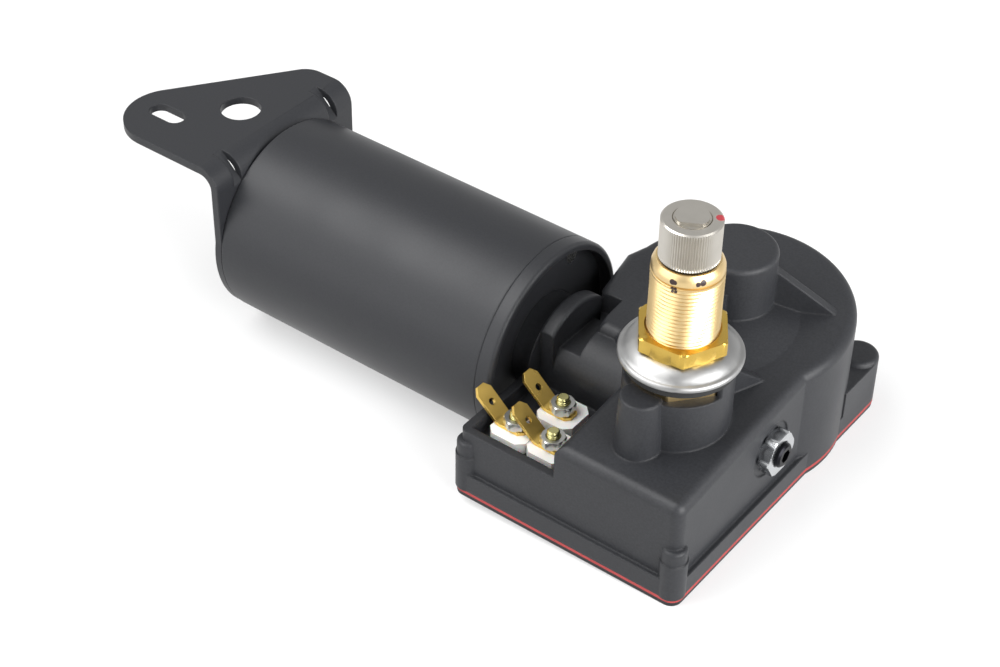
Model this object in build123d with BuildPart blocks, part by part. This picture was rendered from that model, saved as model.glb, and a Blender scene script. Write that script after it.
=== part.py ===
from build123d import *
import os
from math import atan2, cos, degrees, hypot, pi, radians, sin, sqrt

# Tubular wiper motor: a two-pole motor drives a worm gear, whose crank pin swings the output shaft.
# Millimetres. +Z is the output shaft, +X runs along the motor from its can to the end-play screw.
# The origin is on the output shaft, on the shoulder of the threaded bushing where a panel seats.

# ---- Heights above the gear case's lower edge ----
seat_height = 43.0
cover_thickness = 1.2
gasket_thickness = 0.8
flange_top = 5.0
terminal_floor = 13.0
terminal_lip = 16.8
roof_front = 26.0
roof_slope = 0.085
crown_top = 33.4
crown_slope = 0.27
crown_radius = 26.0
deck_thickness = 2.6
bushing_land = 40.0
thread_top = 69.6
collar_top = 71.4
driver_bottom = 71.7
driver_top = 81.4
shaft_tip = 82.0

# ---- Plan of the gear case ----
right_x = 18.9
front_y = -25.3
left_x = -43.0
side_step = 1.2
case_wall = 2.5
gear_x = -9.2
gear_y = 37.0
case_radius = 29.0
gear_wall = 5.2
corner_radius = 2.9
case_corner_radius = 2.5
case_edge_radius = 2.4
deck_left_x = -15.4
terminal_back_y = 3.6
ear_radius = 5.0
ear_height = 13.5
ear_root = 7.0
ear_reach = 14.0
post_top = 13.8

# ---- Motor ----
motor_y = 13.1
motor_height = 17.5
can_radius = 25.5
can_wall = 1.8
can_rear_x = -125.5
can_seam_x = -46.5
cap_front_x = -42.6
cap_face_x = -46.0
collar_radius = 14.7
collar_back_x = -36.0
collar_width = 4.0
tunnel_radius = 9.5
running_gap = 0.05

# ---- Motor shaft, worm and gear ----
motor_shaft_radius = 3.5
worm_pitch_radius = 4.4
gear_teeth = 39
gear_pitch_radius = gear_y - motor_y - worm_pitch_radius
gear_module = 2 * gear_pitch_radius / gear_teeth
gear_thickness = 8.0
pivot_pin_radius = 3.0
gear_hub_radius = 8.0

# ---- Crank, link and lever ----
crank_throw = 7.3
lever_reach = 10.4
link_bottom = 4.0
link_thickness = 2.4
lever_thickness = 2.4
link_gap = 0.2
crank_pin_radius = 2.5
open_pivot_gap = 0.4
link_eye_radius = 4.4
link_width = 7.0

# ---- Output shaft and bushing ----
output_radius = 4.75
thread_radius = 8.0
hex_across_flats = 19.0
boss_radius = 12.4
boss_top = 43.0
shank_radius = 7.0
nut_thickness = 4.0
nut_bottom = 49.0
dome_washer_radius = 13.95
driver_radius = 6.64


def up(height):
    """Height above the gear case's lower edge, as a height in this frame."""
    return height - seat_height


def level(height):
    """Horizontal plane at a height above the gear case's lower edge."""
    return Plane.XY.offset(up(height))


def across(x):
    """Plane square to the motor, facing +X: its own x is the frame's Y, its own y the frame's Z."""
    return Plane.YZ.offset(x)


def round_post(radius, bottom, top, edge, taper=0.0):
    """Upright post centred on the frame's Z axis, with its top edge rounded."""
    with BuildPart(mode=Mode.PRIVATE) as post:
        with BuildSketch(level(top)):
            Circle(radius)
        extrude(amount=bottom - top, taper=-taper)
        fillet(post.faces().sort_by(Axis.Z)[-1].edges(), edge)
    return post.part


def save(piece, name):
    """Name one finished piece and write it to its own file."""
    piece.label = name
    export_step(piece, f"parts/{name}.step")
    print(f"{name:24s} solids {len(piece.solids()):3d}  volume {piece.volume:10.1f}")


os.makedirs("parts", exist_ok=True)
motor_z = up(motor_height)
axis_gap = hypot(gear_x, gear_y)
toward_gear = (gear_x / axis_gap, gear_y / axis_gap)
beside = (toward_gear[1], -toward_gear[0])
lever_pin = (lever_reach * beside[0], lever_reach * beside[1])
crank_pin = (gear_x + crank_throw * beside[0], gear_y + crank_throw * beside[1])
hex_corner = hex_across_flats / sqrt(3)
cover_top = -gasket_thickness
cover_bottom = cover_top - cover_thickness
gear_bottom = motor_height - gear_thickness / 2
gear_top = motor_height + gear_thickness / 2

# ---- Screw places of the cover ----
ear_x = right_x - ear_radius
ear_y = 59.5
back_ear_x = 2 * gear_x - ear_x
post_radius = corner_radius
side_post_radius = 3.6
side_post_place = (left_x + 5.6, gear_y - 8.0)
corner_places = [(right_x - post_radius, front_y + post_radius), (left_x + post_radius, front_y + post_radius)]
ear_places = [(ear_x, ear_y), (back_ear_x, ear_y)]
cover_screw_places = corner_places + ear_places + [side_post_place]
cover_screw_radius = 1.5
screw_pad_radius = 3.4


def base_outline(inset=0.0):
    """Outline of the case's flange, drawn in from its full size by an inset."""
    left, front, right = left_x + inset, front_y + inset, right_x - inset
    notch_x = cap_front_x + can_gap + inset
    notch_y = motor_y - can_radius - can_gap - inset
    with BuildSketch(mode=Mode.PRIVATE) as outline:
        with BuildLine():
            Polyline(
                (left, front), (right, front), (right, ear_y), (gear_x, ear_y), (back_ear_x, ear_y - inset),
                (notch_x, gear_y + 6.0 - inset), (notch_x, notch_y), (left, notch_y), close=True)
        make_face()
        with Locations((gear_x, gear_y)):
            Circle(case_radius - inset)
        with Locations((ear_x, ear_y), (back_ear_x, ear_y)):
            Circle(ear_radius - inset)
        fillet(outline.vertices().sort_by(Axis.Y)[:2], corner_radius - inset)
    return outline.sketch


def case_outline(inset=0.0):
    """Outline of the case above its flange: a straight front block and the round gear case."""
    front = front_y + side_step + inset
    with BuildSketch(mode=Mode.PRIVATE) as outline:
        with BuildLine():
            Polyline(
                (deck_left_x + inset, front), (right_x - side_step - inset, front),
                (right_x - side_step - inset, gear_y), (deck_left_x + inset, gear_y), close=True)
        make_face()
        fillet(outline.vertices().sort_by(Axis.Y)[:2].sort_by(Axis.X)[-1], max(case_corner_radius - inset, 0.5))
        with Locations((gear_x, gear_y)):
            Circle(case_radius - (gear_wall if inset else 0.0))
    return outline.sketch


def roof_height(y):
    """Height of the case's roof, which rises evenly from its front edge to the back."""
    return roof_front + roof_slope * (y - front_y - side_step)


def above_roof(depth=0.0):
    """Everything above the roof, or above a plane that runs a depth below it."""
    reach = 90.0
    with BuildPart(mode=Mode.PRIVATE) as sky:
        with BuildSketch(across(-reach)):
            with BuildLine():
                Polyline(
                    (-reach, up(roof_height(-reach) - depth)), (reach, up(roof_height(reach) - depth)),
                    (reach, up(reach)), (-reach, up(reach)), close=True)
            make_face()
        extrude(amount=2 * reach)
    return sky.part


# ---- Gear case: features ----
terminal_front = front_y + side_step
terminal_left = left_x + side_step
pivot_boss_top = 47.5
pivot_boss_radius = 9.6
small_boss = (-1.3, -12.8)
small_boss_top = 41.0
small_boss_radius = 4.7
neck_top = 24.0
neck_bore_radius = 5.3
neck_bore_end_x = -21.0
neck_front_y = 5.6
spigot_radius = 12.0
spigot_front_x = cap_front_x - 4.4
thrust_pad_radius = 4.0
end_screw_radius = 3.0
end_screw_x = 21.6
tail_boss_radius = 8.2
tail_boss_x = 4.0
gusset_width = 2.4
boss_root = 26.0
rib_top = 40.5
inner_boss_bottom = 12.6
gear_end_gap = 0.1
pin_top = 41.0
cover_screw_depth = 9.0
screw_head_radius = 2.3
screw_slot_depth = 0.7
screw_slot_width = 0.7
front_bush_radius = 6.5
worm_bore_radius = 5.75
tail_bush_radius = 6.3
tail_bush_end = 11.0
spot_face_depth = 0.4
spot_face_radius = 7.0
terminal_places = [(-27.2, -4.3), (-32.5, -14.9), (-22.2, -14.9)]
sleeve_radius = 2.6
gasket_band = 2.8
cover_inset = 0.1
cover_edge_radius = 0.2
can_gap = 1.4

# ---- Armature and brush gear ----
shaft_rear_x = -121.6
shaft_front_x = 12.0
tooth_addendum = 0.75
worm_turns = 6
thread_overlap = 0.4
worm_root_width = 1.75
worm_tip_width = 0.85
core_start_x = -108.0
core_length = 36.0
core_radius = 18.4
slot_count = 12
slot_floor = 9.5
slot_width = 4.2
slot_mouth = 1.6
end_turn = 7.5
commutator_start_x = -62.0
commutator_length = 9.5
commutator_radius = 9.5
segment_inner_radius = 7.2
segment_gap = 0.6
brush_gap = 0.1
brush_length = 6.0
brush_height = 6.0
brush_width = 5.0
holder_height = 7.6
holder_width = 6.6
holder_reach = 10.0
holder_cap = 0.8
brush_plate_x = -53.9
brush_plate_radius = 23.4
brush_plate_thickness = 1.4
spring_radius = 1.7
spring_wire = 0.28
spring_turns = 4
end_play = 0.1
thrust_pad_length = 2.4
end_screw_socket = 3.0
end_screw_socket_depth = 3.0
jam_nut_flat = 10.0
jam_nut_thickness = 3.2
jam_nut_turn = 0.0

# ---- Gear train details ----
tooth_root_width = 1.95
tooth_tip_width = 0.85
hub_step = 1.5
pin_bottom = 9.4
clip_bottom = 10.2
clip_thickness = 0.7
clip_depth = 0.8
clip_tail = 0.5
clip_rim = 1.3
washer_rim = 1.4
contact_thickness = 0.4
contact_outer = 16.0
contact_inner = 12.2
lever_hub_radius = 8.0
output_foot_radius = 4.2

# ---- Output end details ----
driver_seat_radius = 4.0
shaft_tip_radius = 3.7
driver_flat_turn = -62.0
bushing_bottom = 12.6
hex_turn = -10.0
nut_turn = 4.0
relief_radius = 7.6
relief_width = 0.6
seal_depth = 1.6
seal_recess = 0.3
seal_radius = 6.2
rubber_radius = 12.9
rubber_thickness = 2.2
dome_flat_radius = 11.2

# ---- Terminals and park switch ----
insulator_length = 10.0
insulator_width = 10.0
insulator_height = 3.0
stud_radius = 1.5
stud_head = 1.8
stud_head_flat = 5.0
stud_top = 20.8
stud_eye = 3.2
blade_width = 4.8
blade_thickness = 0.8
blade_length = 9.4
blade_angle = 42.0
terminal_nut_flat = 5.5
terminal_nut_thickness = 2.4
switch_place = (-27.5, 37.0)
switch_length = 6.0
switch_width = 14.0
switch_height = 10.0
finger_spacing = 8.0
finger_width = 3.0
finger_thickness = 0.5
finger_gap = 0.15
finger_tip_x = -21.8

# ---- Can, bolts and bracket ----
cap_lip = 6.0
bolt_radius = 2.0
bolt_circle = 20.9
bolt_angle = 58.0
bolt_head_flat = 7.0
bolt_head_height = 2.8
rear_cap_thickness = 2.2
rear_bush_radius = 6.0
rear_bush_end = -117.0
magnet_start_x = -114.0
magnet_length = 46.0
magnet_inner_radius = 18.95
magnet_half_angle = 66.0
sheet = 2.0
bend_radius = 5.5
tab_tip = (-151.5, 0.1)
tab_tip_radius = 12.0
tab_corner_radius = 6.0
tab_slot = (-153.0, 0.1)
slot_length = 10.4
slot_half_width = 2.6
tab_hole = (-140.3, 13.1)
tab_hole_radius = 5.1
dart_offset = 17.7
dart_width = 3.0
dart_reach = 4.6

thrust_pad_end = shaft_front_x + end_play + thrust_pad_length

# ---- Gear case: outer body ----
with BuildPart() as case_body:
    with BuildSketch(level(flange_top)):
        add(case_outline())
    extrude(amount=crown_top + 2.0 - flange_top)
    with BuildSketch(level(flange_top)):
        with BuildLine():
            Polyline(
                (deck_left_x, motor_y), (-30.0, motor_y), (collar_back_x - 1.5, 25.0),
                (collar_back_x - 3.5, 38.0), (collar_back_x, 47.0), (gear_x - 14.0, 59.0), (gear_x, gear_y),
                close=True)
        make_face()
    extrude(amount=crown_top + 2.0 - flange_top)
    add(above_roof(), mode=Mode.SUBTRACT)
    roof_edges = case_body.faces().sort_by(Axis.Z)[-1].edges()
    fillet(roof_edges, case_edge_radius)

# ---- Gear case: the space inside it ----
with BuildPart() as case_cavity:
    with BuildSketch(level(0.0)):
        add(case_outline(case_wall))
    extrude(amount=crown_top)
    add(above_roof(deck_thickness), mode=Mode.SUBTRACT)

# ---- Gear case: the whole casting ----
with BuildPart() as motor_collar:
    with BuildSketch(across(collar_back_x - collar_width)):
        with Locations((motor_y, motor_z)):
            Circle(collar_radius)
    extrude(amount=collar_width)
    fillet(motor_collar.edges(), 0.8)

with BuildPart() as housing:
    with BuildSketch(level(0.0)):
        add(base_outline())
    extrude(amount=flange_top)
    add(case_body.part)
    # Terminal compartment and the body under the neck.
    with BuildSketch(level(flange_top - 1.0)):
        with Locations(((terminal_left + deck_left_x + 6.0) / 2, (terminal_front + terminal_back_y) / 2)):
            RectangleRounded(deck_left_x + 6.0 - terminal_left, terminal_back_y - terminal_front, 2.0)
    extrude(amount=terminal_lip - flange_top + 1.0)
    with BuildSketch(level(flange_top - 1.0)):
        with Locations(((collar_back_x - 4.0 + deck_left_x) / 2, (terminal_back_y + 26.0) / 2 - 0.5)):
            Rectangle(deck_left_x - collar_back_x + 4.0, 26.0 - terminal_back_y + 1.0)
    extrude(amount=motor_height - flange_top + 1.0)
    # Corner posts and ears that take the cover screws.
    with Locations(*corner_places):
        add(round_post(post_radius, flange_top - 1.0, post_top, 0.8))
    with Locations(*ear_places):
        add(round_post(ear_radius, flange_top - 1.0, ear_height, 1.2))
    with Locations(side_post_place):
        add(round_post(side_post_radius, flange_top - 1.0, ear_height, 0.8))
    ear_shift = (ear_radius - ear_root) / 2
    with BuildSketch(level(flange_top - 1.0)):
        with Locations((ear_x + ear_shift, ear_y - ear_reach / 2), (back_ear_x - ear_shift, ear_y - ear_reach / 2)):
            Rectangle(ear_radius + ear_root, ear_reach)
    extrude(amount=ear_height - 1.2 - flange_top + 1.0)
    # Worm tunnel, neck and motor collar.
    with BuildSketch(across(collar_back_x - 1.0)):
        with Locations((motor_y, motor_z)):
            Circle(tunnel_radius)
    extrude(amount=deck_left_x + 3.0 - collar_back_x)
    add(motor_collar.part)
    with BuildSketch(across(spigot_front_x)):
        with Locations((motor_y, motor_z)):
            Circle(spigot_radius)
    extrude(amount=collar_back_x - 4.0 - spigot_front_x)
    # Open pocket over the neck, behind the collar.
    with BuildSketch(across(collar_back_x)):
        with BuildLine():
            Polyline(
                (terminal_back_y - 4, up(neck_top - 5.5)), (neck_front_y, up(neck_top)), (23.0, up(neck_top)),
                (23.0, up(crown_top + 2.0)), (terminal_back_y - 4, up(crown_top + 2.0)), close=True)
        make_face()
    extrude(amount=5.6, mode=Mode.SUBTRACT)
    # Output boss with its half rim, the small boss beside it, and the gear pivot boss on its shallow cone.
    with BuildSketch(level(boss_root)):
        Circle(boss_radius)
    extrude(amount=boss_top - boss_root)
    with BuildSketch(level(bushing_land)):
        Circle(boss_radius - 1.1)
        with Locations(Location((0, 0, 0), (0, 0, -75))):
            with Locations((boss_radius / 2 + 5.0, 0)):
                Rectangle(boss_radius, 3 * boss_radius)
    extrude(amount=boss_top - bushing_land + 1.0, mode=Mode.SUBTRACT)
    with Locations(small_boss):
        add(round_post(small_boss_radius, boss_root, small_boss_top, 0.5, taper=3.0))
    with BuildSketch(level(bushing_land)):
        Circle(boss_radius - 1.1)
    extrude(amount=boss_top - bushing_land, mode=Mode.SUBTRACT)
    with Locations((gear_x, gear_y)):
        add(round_post(pivot_boss_radius, crown_top - 1.0, pivot_boss_top, 1.2))
    with BuildSketch(Plane.XZ.offset(-gear_y)):
        with BuildLine():
            Polyline(
                (gear_x, up(boss_root)), (gear_x + crown_radius, up(boss_root)),
                (gear_x + crown_radius, up(crown_top - crown_slope * (crown_radius - pivot_boss_radius))),
                (gear_x + pivot_boss_radius, up(crown_top)), (gear_x, up(crown_top)), close=True)
        make_face()
    revolve(axis=Axis((gear_x, gear_y, 0), (0, 0, 1)))
    # Gussets from the two bosses down to the deck, and the rib that ties them.
    for centre, angle, start, reach, top in (
            ((gear_x, gear_y), 26.7, pivot_boss_radius - 0.8, 24.1, pivot_boss_top - 4.5),
            ((0.0, 0.0), 64.0, boss_radius - 1.2, 22.2, boss_top - 5.0)):
        along = (cos(radians(angle)), sin(radians(angle)))
        foot = roof_height(centre[1] + reach * along[1])
        gusset_plane = Plane(
            origin=(centre[0], centre[1], up(foot)), x_dir=(along[0], along[1], 0), z_dir=(along[1], -along[0], 0))
        with BuildSketch(gusset_plane):
            with BuildLine():
                Polyline((start, -1.0), (reach, -1.0), (reach, 0), (start, top - foot), close=True)
            make_face()
        extrude(amount=gusset_width / 2, both=True)
    with BuildSketch(level(boss_root)):
        with Locations(Location((gear_x / 2, gear_y / 2, 0), (0, 0, degrees(atan2(gear_y, gear_x))))):
            Rectangle(axis_gap - boss_radius - pivot_boss_radius + 3.0, gusset_width)
    extrude(amount=rib_top - boss_root)
    # Hollow interior, open at the bottom.
    add(case_cavity.part, mode=Mode.SUBTRACT)
    with BuildSketch(level(0.0)):
        with Locations(((terminal_left + case_wall + deck_left_x + 3.0) / 2, (terminal_front + case_wall + 1.0) / 2)):
            Rectangle(deck_left_x + 3.0 - terminal_left - case_wall, 1.0 - terminal_front - case_wall)
        with Locations(((-36.0 + deck_left_x + 3.0) / 2, 11.5)):
            Rectangle(deck_left_x + 3.0 + 36.0, 23.0)
    extrude(amount=terminal_floor - case_wall - 3.0, mode=Mode.SUBTRACT)
    with BuildSketch(level(0.0)):
        with Locations(((terminal_left + case_wall + deck_left_x + 3.0) / 2, (terminal_front + case_wall + 0.0) / 2)):
            Rectangle(deck_left_x + 3.0 - terminal_left - case_wall, -terminal_front - case_wall)
    extrude(amount=terminal_floor - case_wall, mode=Mode.SUBTRACT)
    # Open tray that the terminals stand in.
    with BuildSketch(level(terminal_floor)):
        with Locations(((terminal_left + 2.2 + deck_left_x) / 2, (terminal_front + 2.2 + terminal_back_y) / 2)):
            Rectangle(deck_left_x - terminal_left - 2.2, terminal_back_y - terminal_front - 2.2)
    extrude(amount=crown_top - terminal_floor, mode=Mode.SUBTRACT)
    # Inner bosses: output bushing, gear pin, tail bearing, cover screws.
    with BuildSketch(level(inner_boss_bottom)):
        Circle(shank_radius + 2.6)
    extrude(amount=boss_root + deck_thickness + 1.0 - inner_boss_bottom)
    with BuildSketch(level(gear_top + gear_end_gap)):
        with Locations((gear_x, gear_y)):
            Circle(gear_hub_radius)
    extrude(amount=crown_top - 1.0 - gear_top - gear_end_gap)
    with BuildSketch(across(tail_boss_x)):
        with Locations((motor_y, motor_z)):
            Circle(tail_boss_radius)
    extrude(amount=right_x - side_step - case_wall + 0.5 - tail_boss_x)
    with BuildSketch(level(0.0)):
        with Locations(*corner_places):
            Circle(screw_pad_radius - 0.2)
    extrude(amount=cover_screw_depth + 1.0)
    # Bores.
    with BuildSketch(level(0.0)):
        Circle(shank_radius)
    extrude(amount=bushing_land, mode=Mode.SUBTRACT)
    with BuildSketch(level(0.0)):
        with Locations((gear_x, gear_y)):
            Circle(pivot_pin_radius)
    extrude(amount=pin_top, mode=Mode.SUBTRACT)
    with BuildSketch(level(0.0)):
        with Locations(*cover_screw_places):
            Circle(cover_screw_radius)
    extrude(amount=cover_screw_depth, mode=Mode.SUBTRACT)
    for start, end, bore in (
            (spigot_front_x, collar_back_x - 2.0, front_bush_radius),
            (collar_back_x - 2.0, neck_bore_end_x, neck_bore_radius),
            (neck_bore_end_x, tail_boss_x, worm_bore_radius),
            (tail_boss_x, tail_bush_end, tail_bush_radius),
            (tail_bush_end, thrust_pad_end, thrust_pad_radius), (thrust_pad_end, right_x, end_screw_radius)):
        with BuildSketch(across(start)):
            with Locations((motor_y, motor_z)):
                Circle(bore)
        extrude(amount=end - start, mode=Mode.SUBTRACT)
    with BuildSketch(across(right_x - side_step - spot_face_depth)):
        with Locations((motor_y, motor_z)):
            Circle(spot_face_radius)
    extrude(amount=3.0, mode=Mode.SUBTRACT)
    with BuildSketch(level(terminal_floor)):
        with Locations(*terminal_places):
            Circle(sleeve_radius)
    extrude(amount=-case_wall - 1.0, mode=Mode.SUBTRACT)
save(housing.part, "gear_housing")

# ---- Cover, gasket and the screws that hold them ----
with BuildPart() as gasket:
    with BuildSketch(level(cover_top)):
        add(base_outline())
        add(base_outline(gasket_band), mode=Mode.SUBTRACT)
        with Locations(*cover_screw_places):
            Circle(screw_pad_radius - 0.5)
        with Locations(*cover_screw_places):
            Circle(cover_screw_radius, mode=Mode.SUBTRACT)
    extrude(amount=gasket_thickness)
save(gasket.part, "cover_gasket")

with BuildPart() as cover:
    with BuildSketch(level(cover_bottom)):
        add(base_outline(cover_inset))
    extrude(amount=cover_thickness)
    fillet(cover.faces().sort_by(Axis.Z)[0].outer_wire().edges(), cover_edge_radius)
    with Locations(*[(x, y, up(cover_bottom)) for x, y in cover_screw_places]):
        Cone(screw_head_radius, cover_screw_radius, cover_thickness,
             align=(Align.CENTER, Align.CENTER, Align.MIN), mode=Mode.SUBTRACT)
save(cover.part, "cover_plate")

with BuildPart() as cover_screws:
    with Locations(*[(x, y, up(cover_bottom)) for x, y in cover_screw_places]):
        Cone(screw_head_radius, cover_screw_radius, cover_thickness, align=(Align.CENTER, Align.CENTER, Align.MIN))
        Cylinder(cover_screw_radius, cover_screw_depth - 0.5 - cover_bottom,
                 align=(Align.CENTER, Align.CENTER, Align.MIN))
    with BuildSketch(level(cover_bottom)):
        with Locations(*cover_screw_places):
            Rectangle(screw_slot_width, 3.2)
            Rectangle(3.2, screw_slot_width)
    extrude(amount=screw_slot_depth, mode=Mode.SUBTRACT)
save(cover_screws.part, "cover_screws")

# ---- Motor can and its two end caps ----
bolt_places = [
    (motor_y + side * bolt_circle * cos(radians(bolt_angle)), motor_z + side * bolt_circle * sin(radians(bolt_angle)))
    for side in (1, -1)]

with BuildPart() as can:
    with BuildSketch(across(can_rear_x)):
        with Locations((motor_y, motor_z)):
            Circle(can_radius)
            Circle(can_radius - can_wall, mode=Mode.SUBTRACT)
    extrude(amount=can_seam_x - can_rear_x)
    fillet(can.faces().filter_by(GeomType.CYLINDER).sort_by(SortBy.AREA)[-1].edges().filter_by(GeomType.CIRCLE), 0.4)
save(can.part, "motor_can")

with BuildPart() as front_cap:
    with BuildSketch(across(can_seam_x)):
        with Locations((motor_y, motor_z)):
            Circle(can_radius)
    extrude(amount=cap_front_x - can_seam_x)
    rim_edge = front_cap.edges().group_by(Axis.X)[-1]
    fillet(rim_edge, 1.0)
    with BuildSketch(across(cap_face_x)):
        with Locations((motor_y, motor_z)):
            Circle(can_radius - 1.9)
    extrude(amount=cap_front_x - cap_face_x, mode=Mode.SUBTRACT)
    with BuildSketch(across(can_seam_x - cap_lip)):
        with Locations((motor_y, motor_z)):
            Circle(can_radius - can_wall)
    extrude(amount=cap_lip)
    with BuildSketch(across(can_seam_x - cap_lip)):
        with Locations((motor_y, motor_z)):
            Circle(can_radius - can_wall - 2.0)
    extrude(amount=cap_lip - 1.5, mode=Mode.SUBTRACT)
    with BuildSketch(across(can_seam_x - cap_lip)):
        with Locations((motor_y, motor_z)):
            Circle(spigot_radius)
        with Locations(*bolt_places):
            Circle(bolt_radius)
    extrude(amount=cap_lip + 1.0, mode=Mode.SUBTRACT)
save(front_cap.part, "front_end_cap")

with BuildPart() as rear_cap:
    with BuildSketch(across(can_rear_x)):
        with Locations((motor_y, motor_z)):
            Circle(can_radius - can_wall)
    extrude(amount=rear_cap_thickness)
    with BuildSketch(across(can_rear_x)):
        with Locations((motor_y, motor_z)):
            Circle(rear_bush_radius + 2.2)
    extrude(amount=rear_bush_end - can_rear_x)
    with BuildSketch(across(can_rear_x + 1.0)):
        with Locations((motor_y, motor_z)):
            Circle(rear_bush_radius)
    extrude(amount=rear_bush_end - can_rear_x, mode=Mode.SUBTRACT)
    with BuildSketch(across(can_rear_x)):
        with Locations(*bolt_places):
            Circle(bolt_radius)
    extrude(amount=rear_cap_thickness, mode=Mode.SUBTRACT)
save(rear_cap.part, "rear_end_cap")

# ---- Mounting bracket: a round plate behind the can, bent back into a flat tab ----
plate_half = can_radius - 0.5
tab_top = motor_height + can_radius
plate_outer_x = can_rear_x - sheet
bend_start_x = can_rear_x - bend_radius
bend_height = tab_top - bend_radius
tab_corner = (bend_start_x - tab_corner_radius + 1.0, motor_y + plate_half - tab_corner_radius)

with BuildPart() as bracket:
    with BuildSketch(across(plate_outer_x)):
        with Locations((motor_y, motor_z)):
            Circle(can_radius - 0.1)
        with Locations((motor_y, (motor_z + up(bend_height)) / 2)):
            Rectangle(2 * plate_half, bend_height - motor_height)
        with Locations((motor_y, up(bend_height) + 15.0)):
            Rectangle(2 * can_radius, 30.0, mode=Mode.SUBTRACT)
        with Locations(*bolt_places):
            Circle(bolt_radius, mode=Mode.SUBTRACT)
    extrude(amount=sheet)
    with BuildSketch(Plane.XZ.offset(-(motor_y - plate_half))):
        with Locations((bend_start_x, up(bend_height))):
            Circle(bend_radius)
            Circle(bend_radius - sheet, mode=Mode.SUBTRACT)
            Rectangle(2 * bend_radius, 2 * bend_radius, align=(Align.MAX, Align.CENTER), mode=Mode.SUBTRACT)
            Rectangle(2 * bend_radius, 2 * bend_radius, align=(Align.CENTER, Align.MAX), mode=Mode.SUBTRACT)
    extrude(amount=-2 * plate_half)
    with BuildSketch(level(tab_top - sheet)) as tab_outline:
        with BuildLine():
            CenterArc(tab_tip, tab_tip_radius, 0, 360)
            CenterArc(tab_corner, tab_corner_radius, 0, 360)
            Line((bend_start_x, motor_y - plate_half), (bend_start_x, motor_y + plate_half))
        make_hull()
        with Locations(tab_slot):
            SlotOverall(slot_length, 2 * slot_half_width, mode=Mode.SUBTRACT)
        with Locations(tab_hole):
            Circle(tab_hole_radius, mode=Mode.SUBTRACT)
    extrude(amount=sheet)
    for side in (-1, 1):
        dart_y = motor_y + side * dart_offset
        with BuildSketch(Plane.XZ.offset(-(dart_y - dart_width / 2))):
            with BuildLine():
                Polyline(
                    (plate_outer_x - dart_reach, up(tab_top)), (can_rear_x, up(tab_top - dart_reach - sheet)),
                    (can_rear_x, up(tab_top)), close=True)
            make_face()
        extrude(amount=-dart_width, mode=Mode.SUBTRACT)
        with BuildSketch(Plane.XZ.offset(-(dart_y - dart_width / 2))):
            with BuildLine():
                Polyline(
                    (plate_outer_x - dart_reach, up(tab_top)), (can_rear_x, up(tab_top - dart_reach - sheet)),
                    (plate_outer_x, up(tab_top - dart_reach - 2 * sheet)),
                    (plate_outer_x - dart_reach - sheet, up(tab_top - sheet)), close=True)
            make_face()
        extrude(amount=-dart_width)
save(bracket.part, "mounting_bracket")

with BuildPart() as through_bolts:
    for centre_y, centre_z in bolt_places:
        with BuildSketch(across(plate_outer_x)):
            with Locations((centre_y, centre_z)):
                RegularPolygon(bolt_head_flat / 2, 6, major_radius=False)
        extrude(amount=-bolt_head_height)
        with BuildSketch(across(plate_outer_x)):
            with Locations((centre_y, centre_z)):
                Circle(bolt_radius)
        extrude(amount=cap_face_x - plate_outer_x)
save(through_bolts.part, "through_bolts")

# ---- Field magnets ----
with BuildPart() as magnets:
    for side in (bolt_angle - 90, bolt_angle + 90):
        with BuildSketch(across(magnet_start_x)):
            with Locations(Location((motor_y, motor_z, 0), (0, 0, side))):
                Circle(can_radius - can_wall)
                Circle(magnet_inner_radius, mode=Mode.SUBTRACT)
                Rectangle(60, 60, align=(Align.MAX, Align.CENTER), mode=Mode.SUBTRACT)
                for turn in (-1, 1):
                    with Locations(Location((0, 0, 0), (0, 0, turn * (magnet_half_angle)))):
                        Rectangle(60, 30, align=(Align.MIN, Align.MIN if turn > 0 else Align.MAX),
                                  mode=Mode.SUBTRACT)
        extrude(amount=magnet_length)
save(magnets.part, "field_magnets")


# ---- Armature: shaft with worm, core, windings and commutator ----
worm_pitch = pi * gear_module
worm_tip = worm_pitch_radius + tooth_addendum
worm_start = gear_x - (worm_turns / 2 + 0.5) * worm_pitch

worm_plane = Plane(origin=(worm_start, motor_y, motor_z), x_dir=(0, 1, 0), z_dir=(1, 0, 0))
thread_path = worm_plane.location * Helix(worm_pitch, worm_turns * worm_pitch, motor_shaft_radius)

with BuildPart() as thread:
    with BuildSketch(Plane(origin=thread_path @ 0, x_dir=(0, 1, 0), z_dir=thread_path % 0)):
        with BuildLine():
            Polyline(
                (-thread_overlap, -worm_root_width / 2), (worm_tip - motor_shaft_radius, -worm_tip_width / 2),
                (worm_tip - motor_shaft_radius, worm_tip_width / 2), (-thread_overlap, worm_root_width / 2),
                close=True)
        make_face()
    sweep(path=thread_path, is_frenet=True)

with BuildPart() as shaft:
    with BuildSketch(across(shaft_rear_x)):
        with Locations((motor_y, motor_z)):
            Circle(motor_shaft_radius)
    extrude(amount=shaft_front_x - shaft_rear_x)
    chamfer(shaft.edges().filter_by(GeomType.CIRCLE), 0.4)
    add(thread.part)
save(shaft.part, "armature_shaft")

with BuildPart() as core:
    with BuildSketch(across(core_start_x)):
        with Locations((motor_y, motor_z)):
            Circle(core_radius)
            Circle(motor_shaft_radius, mode=Mode.SUBTRACT)
            with PolarLocations(0, slot_count):
                with Locations(((core_radius + slot_floor) / 2 - 0.6, 0)):
                    Rectangle(core_radius - slot_floor - 1.2, slot_width, mode=Mode.SUBTRACT)
                with Locations((core_radius - 1.0, 0)):
                    Rectangle(4.0, slot_mouth, mode=Mode.SUBTRACT)
    extrude(amount=core_length)
save(core.part, "armature_core")

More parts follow.
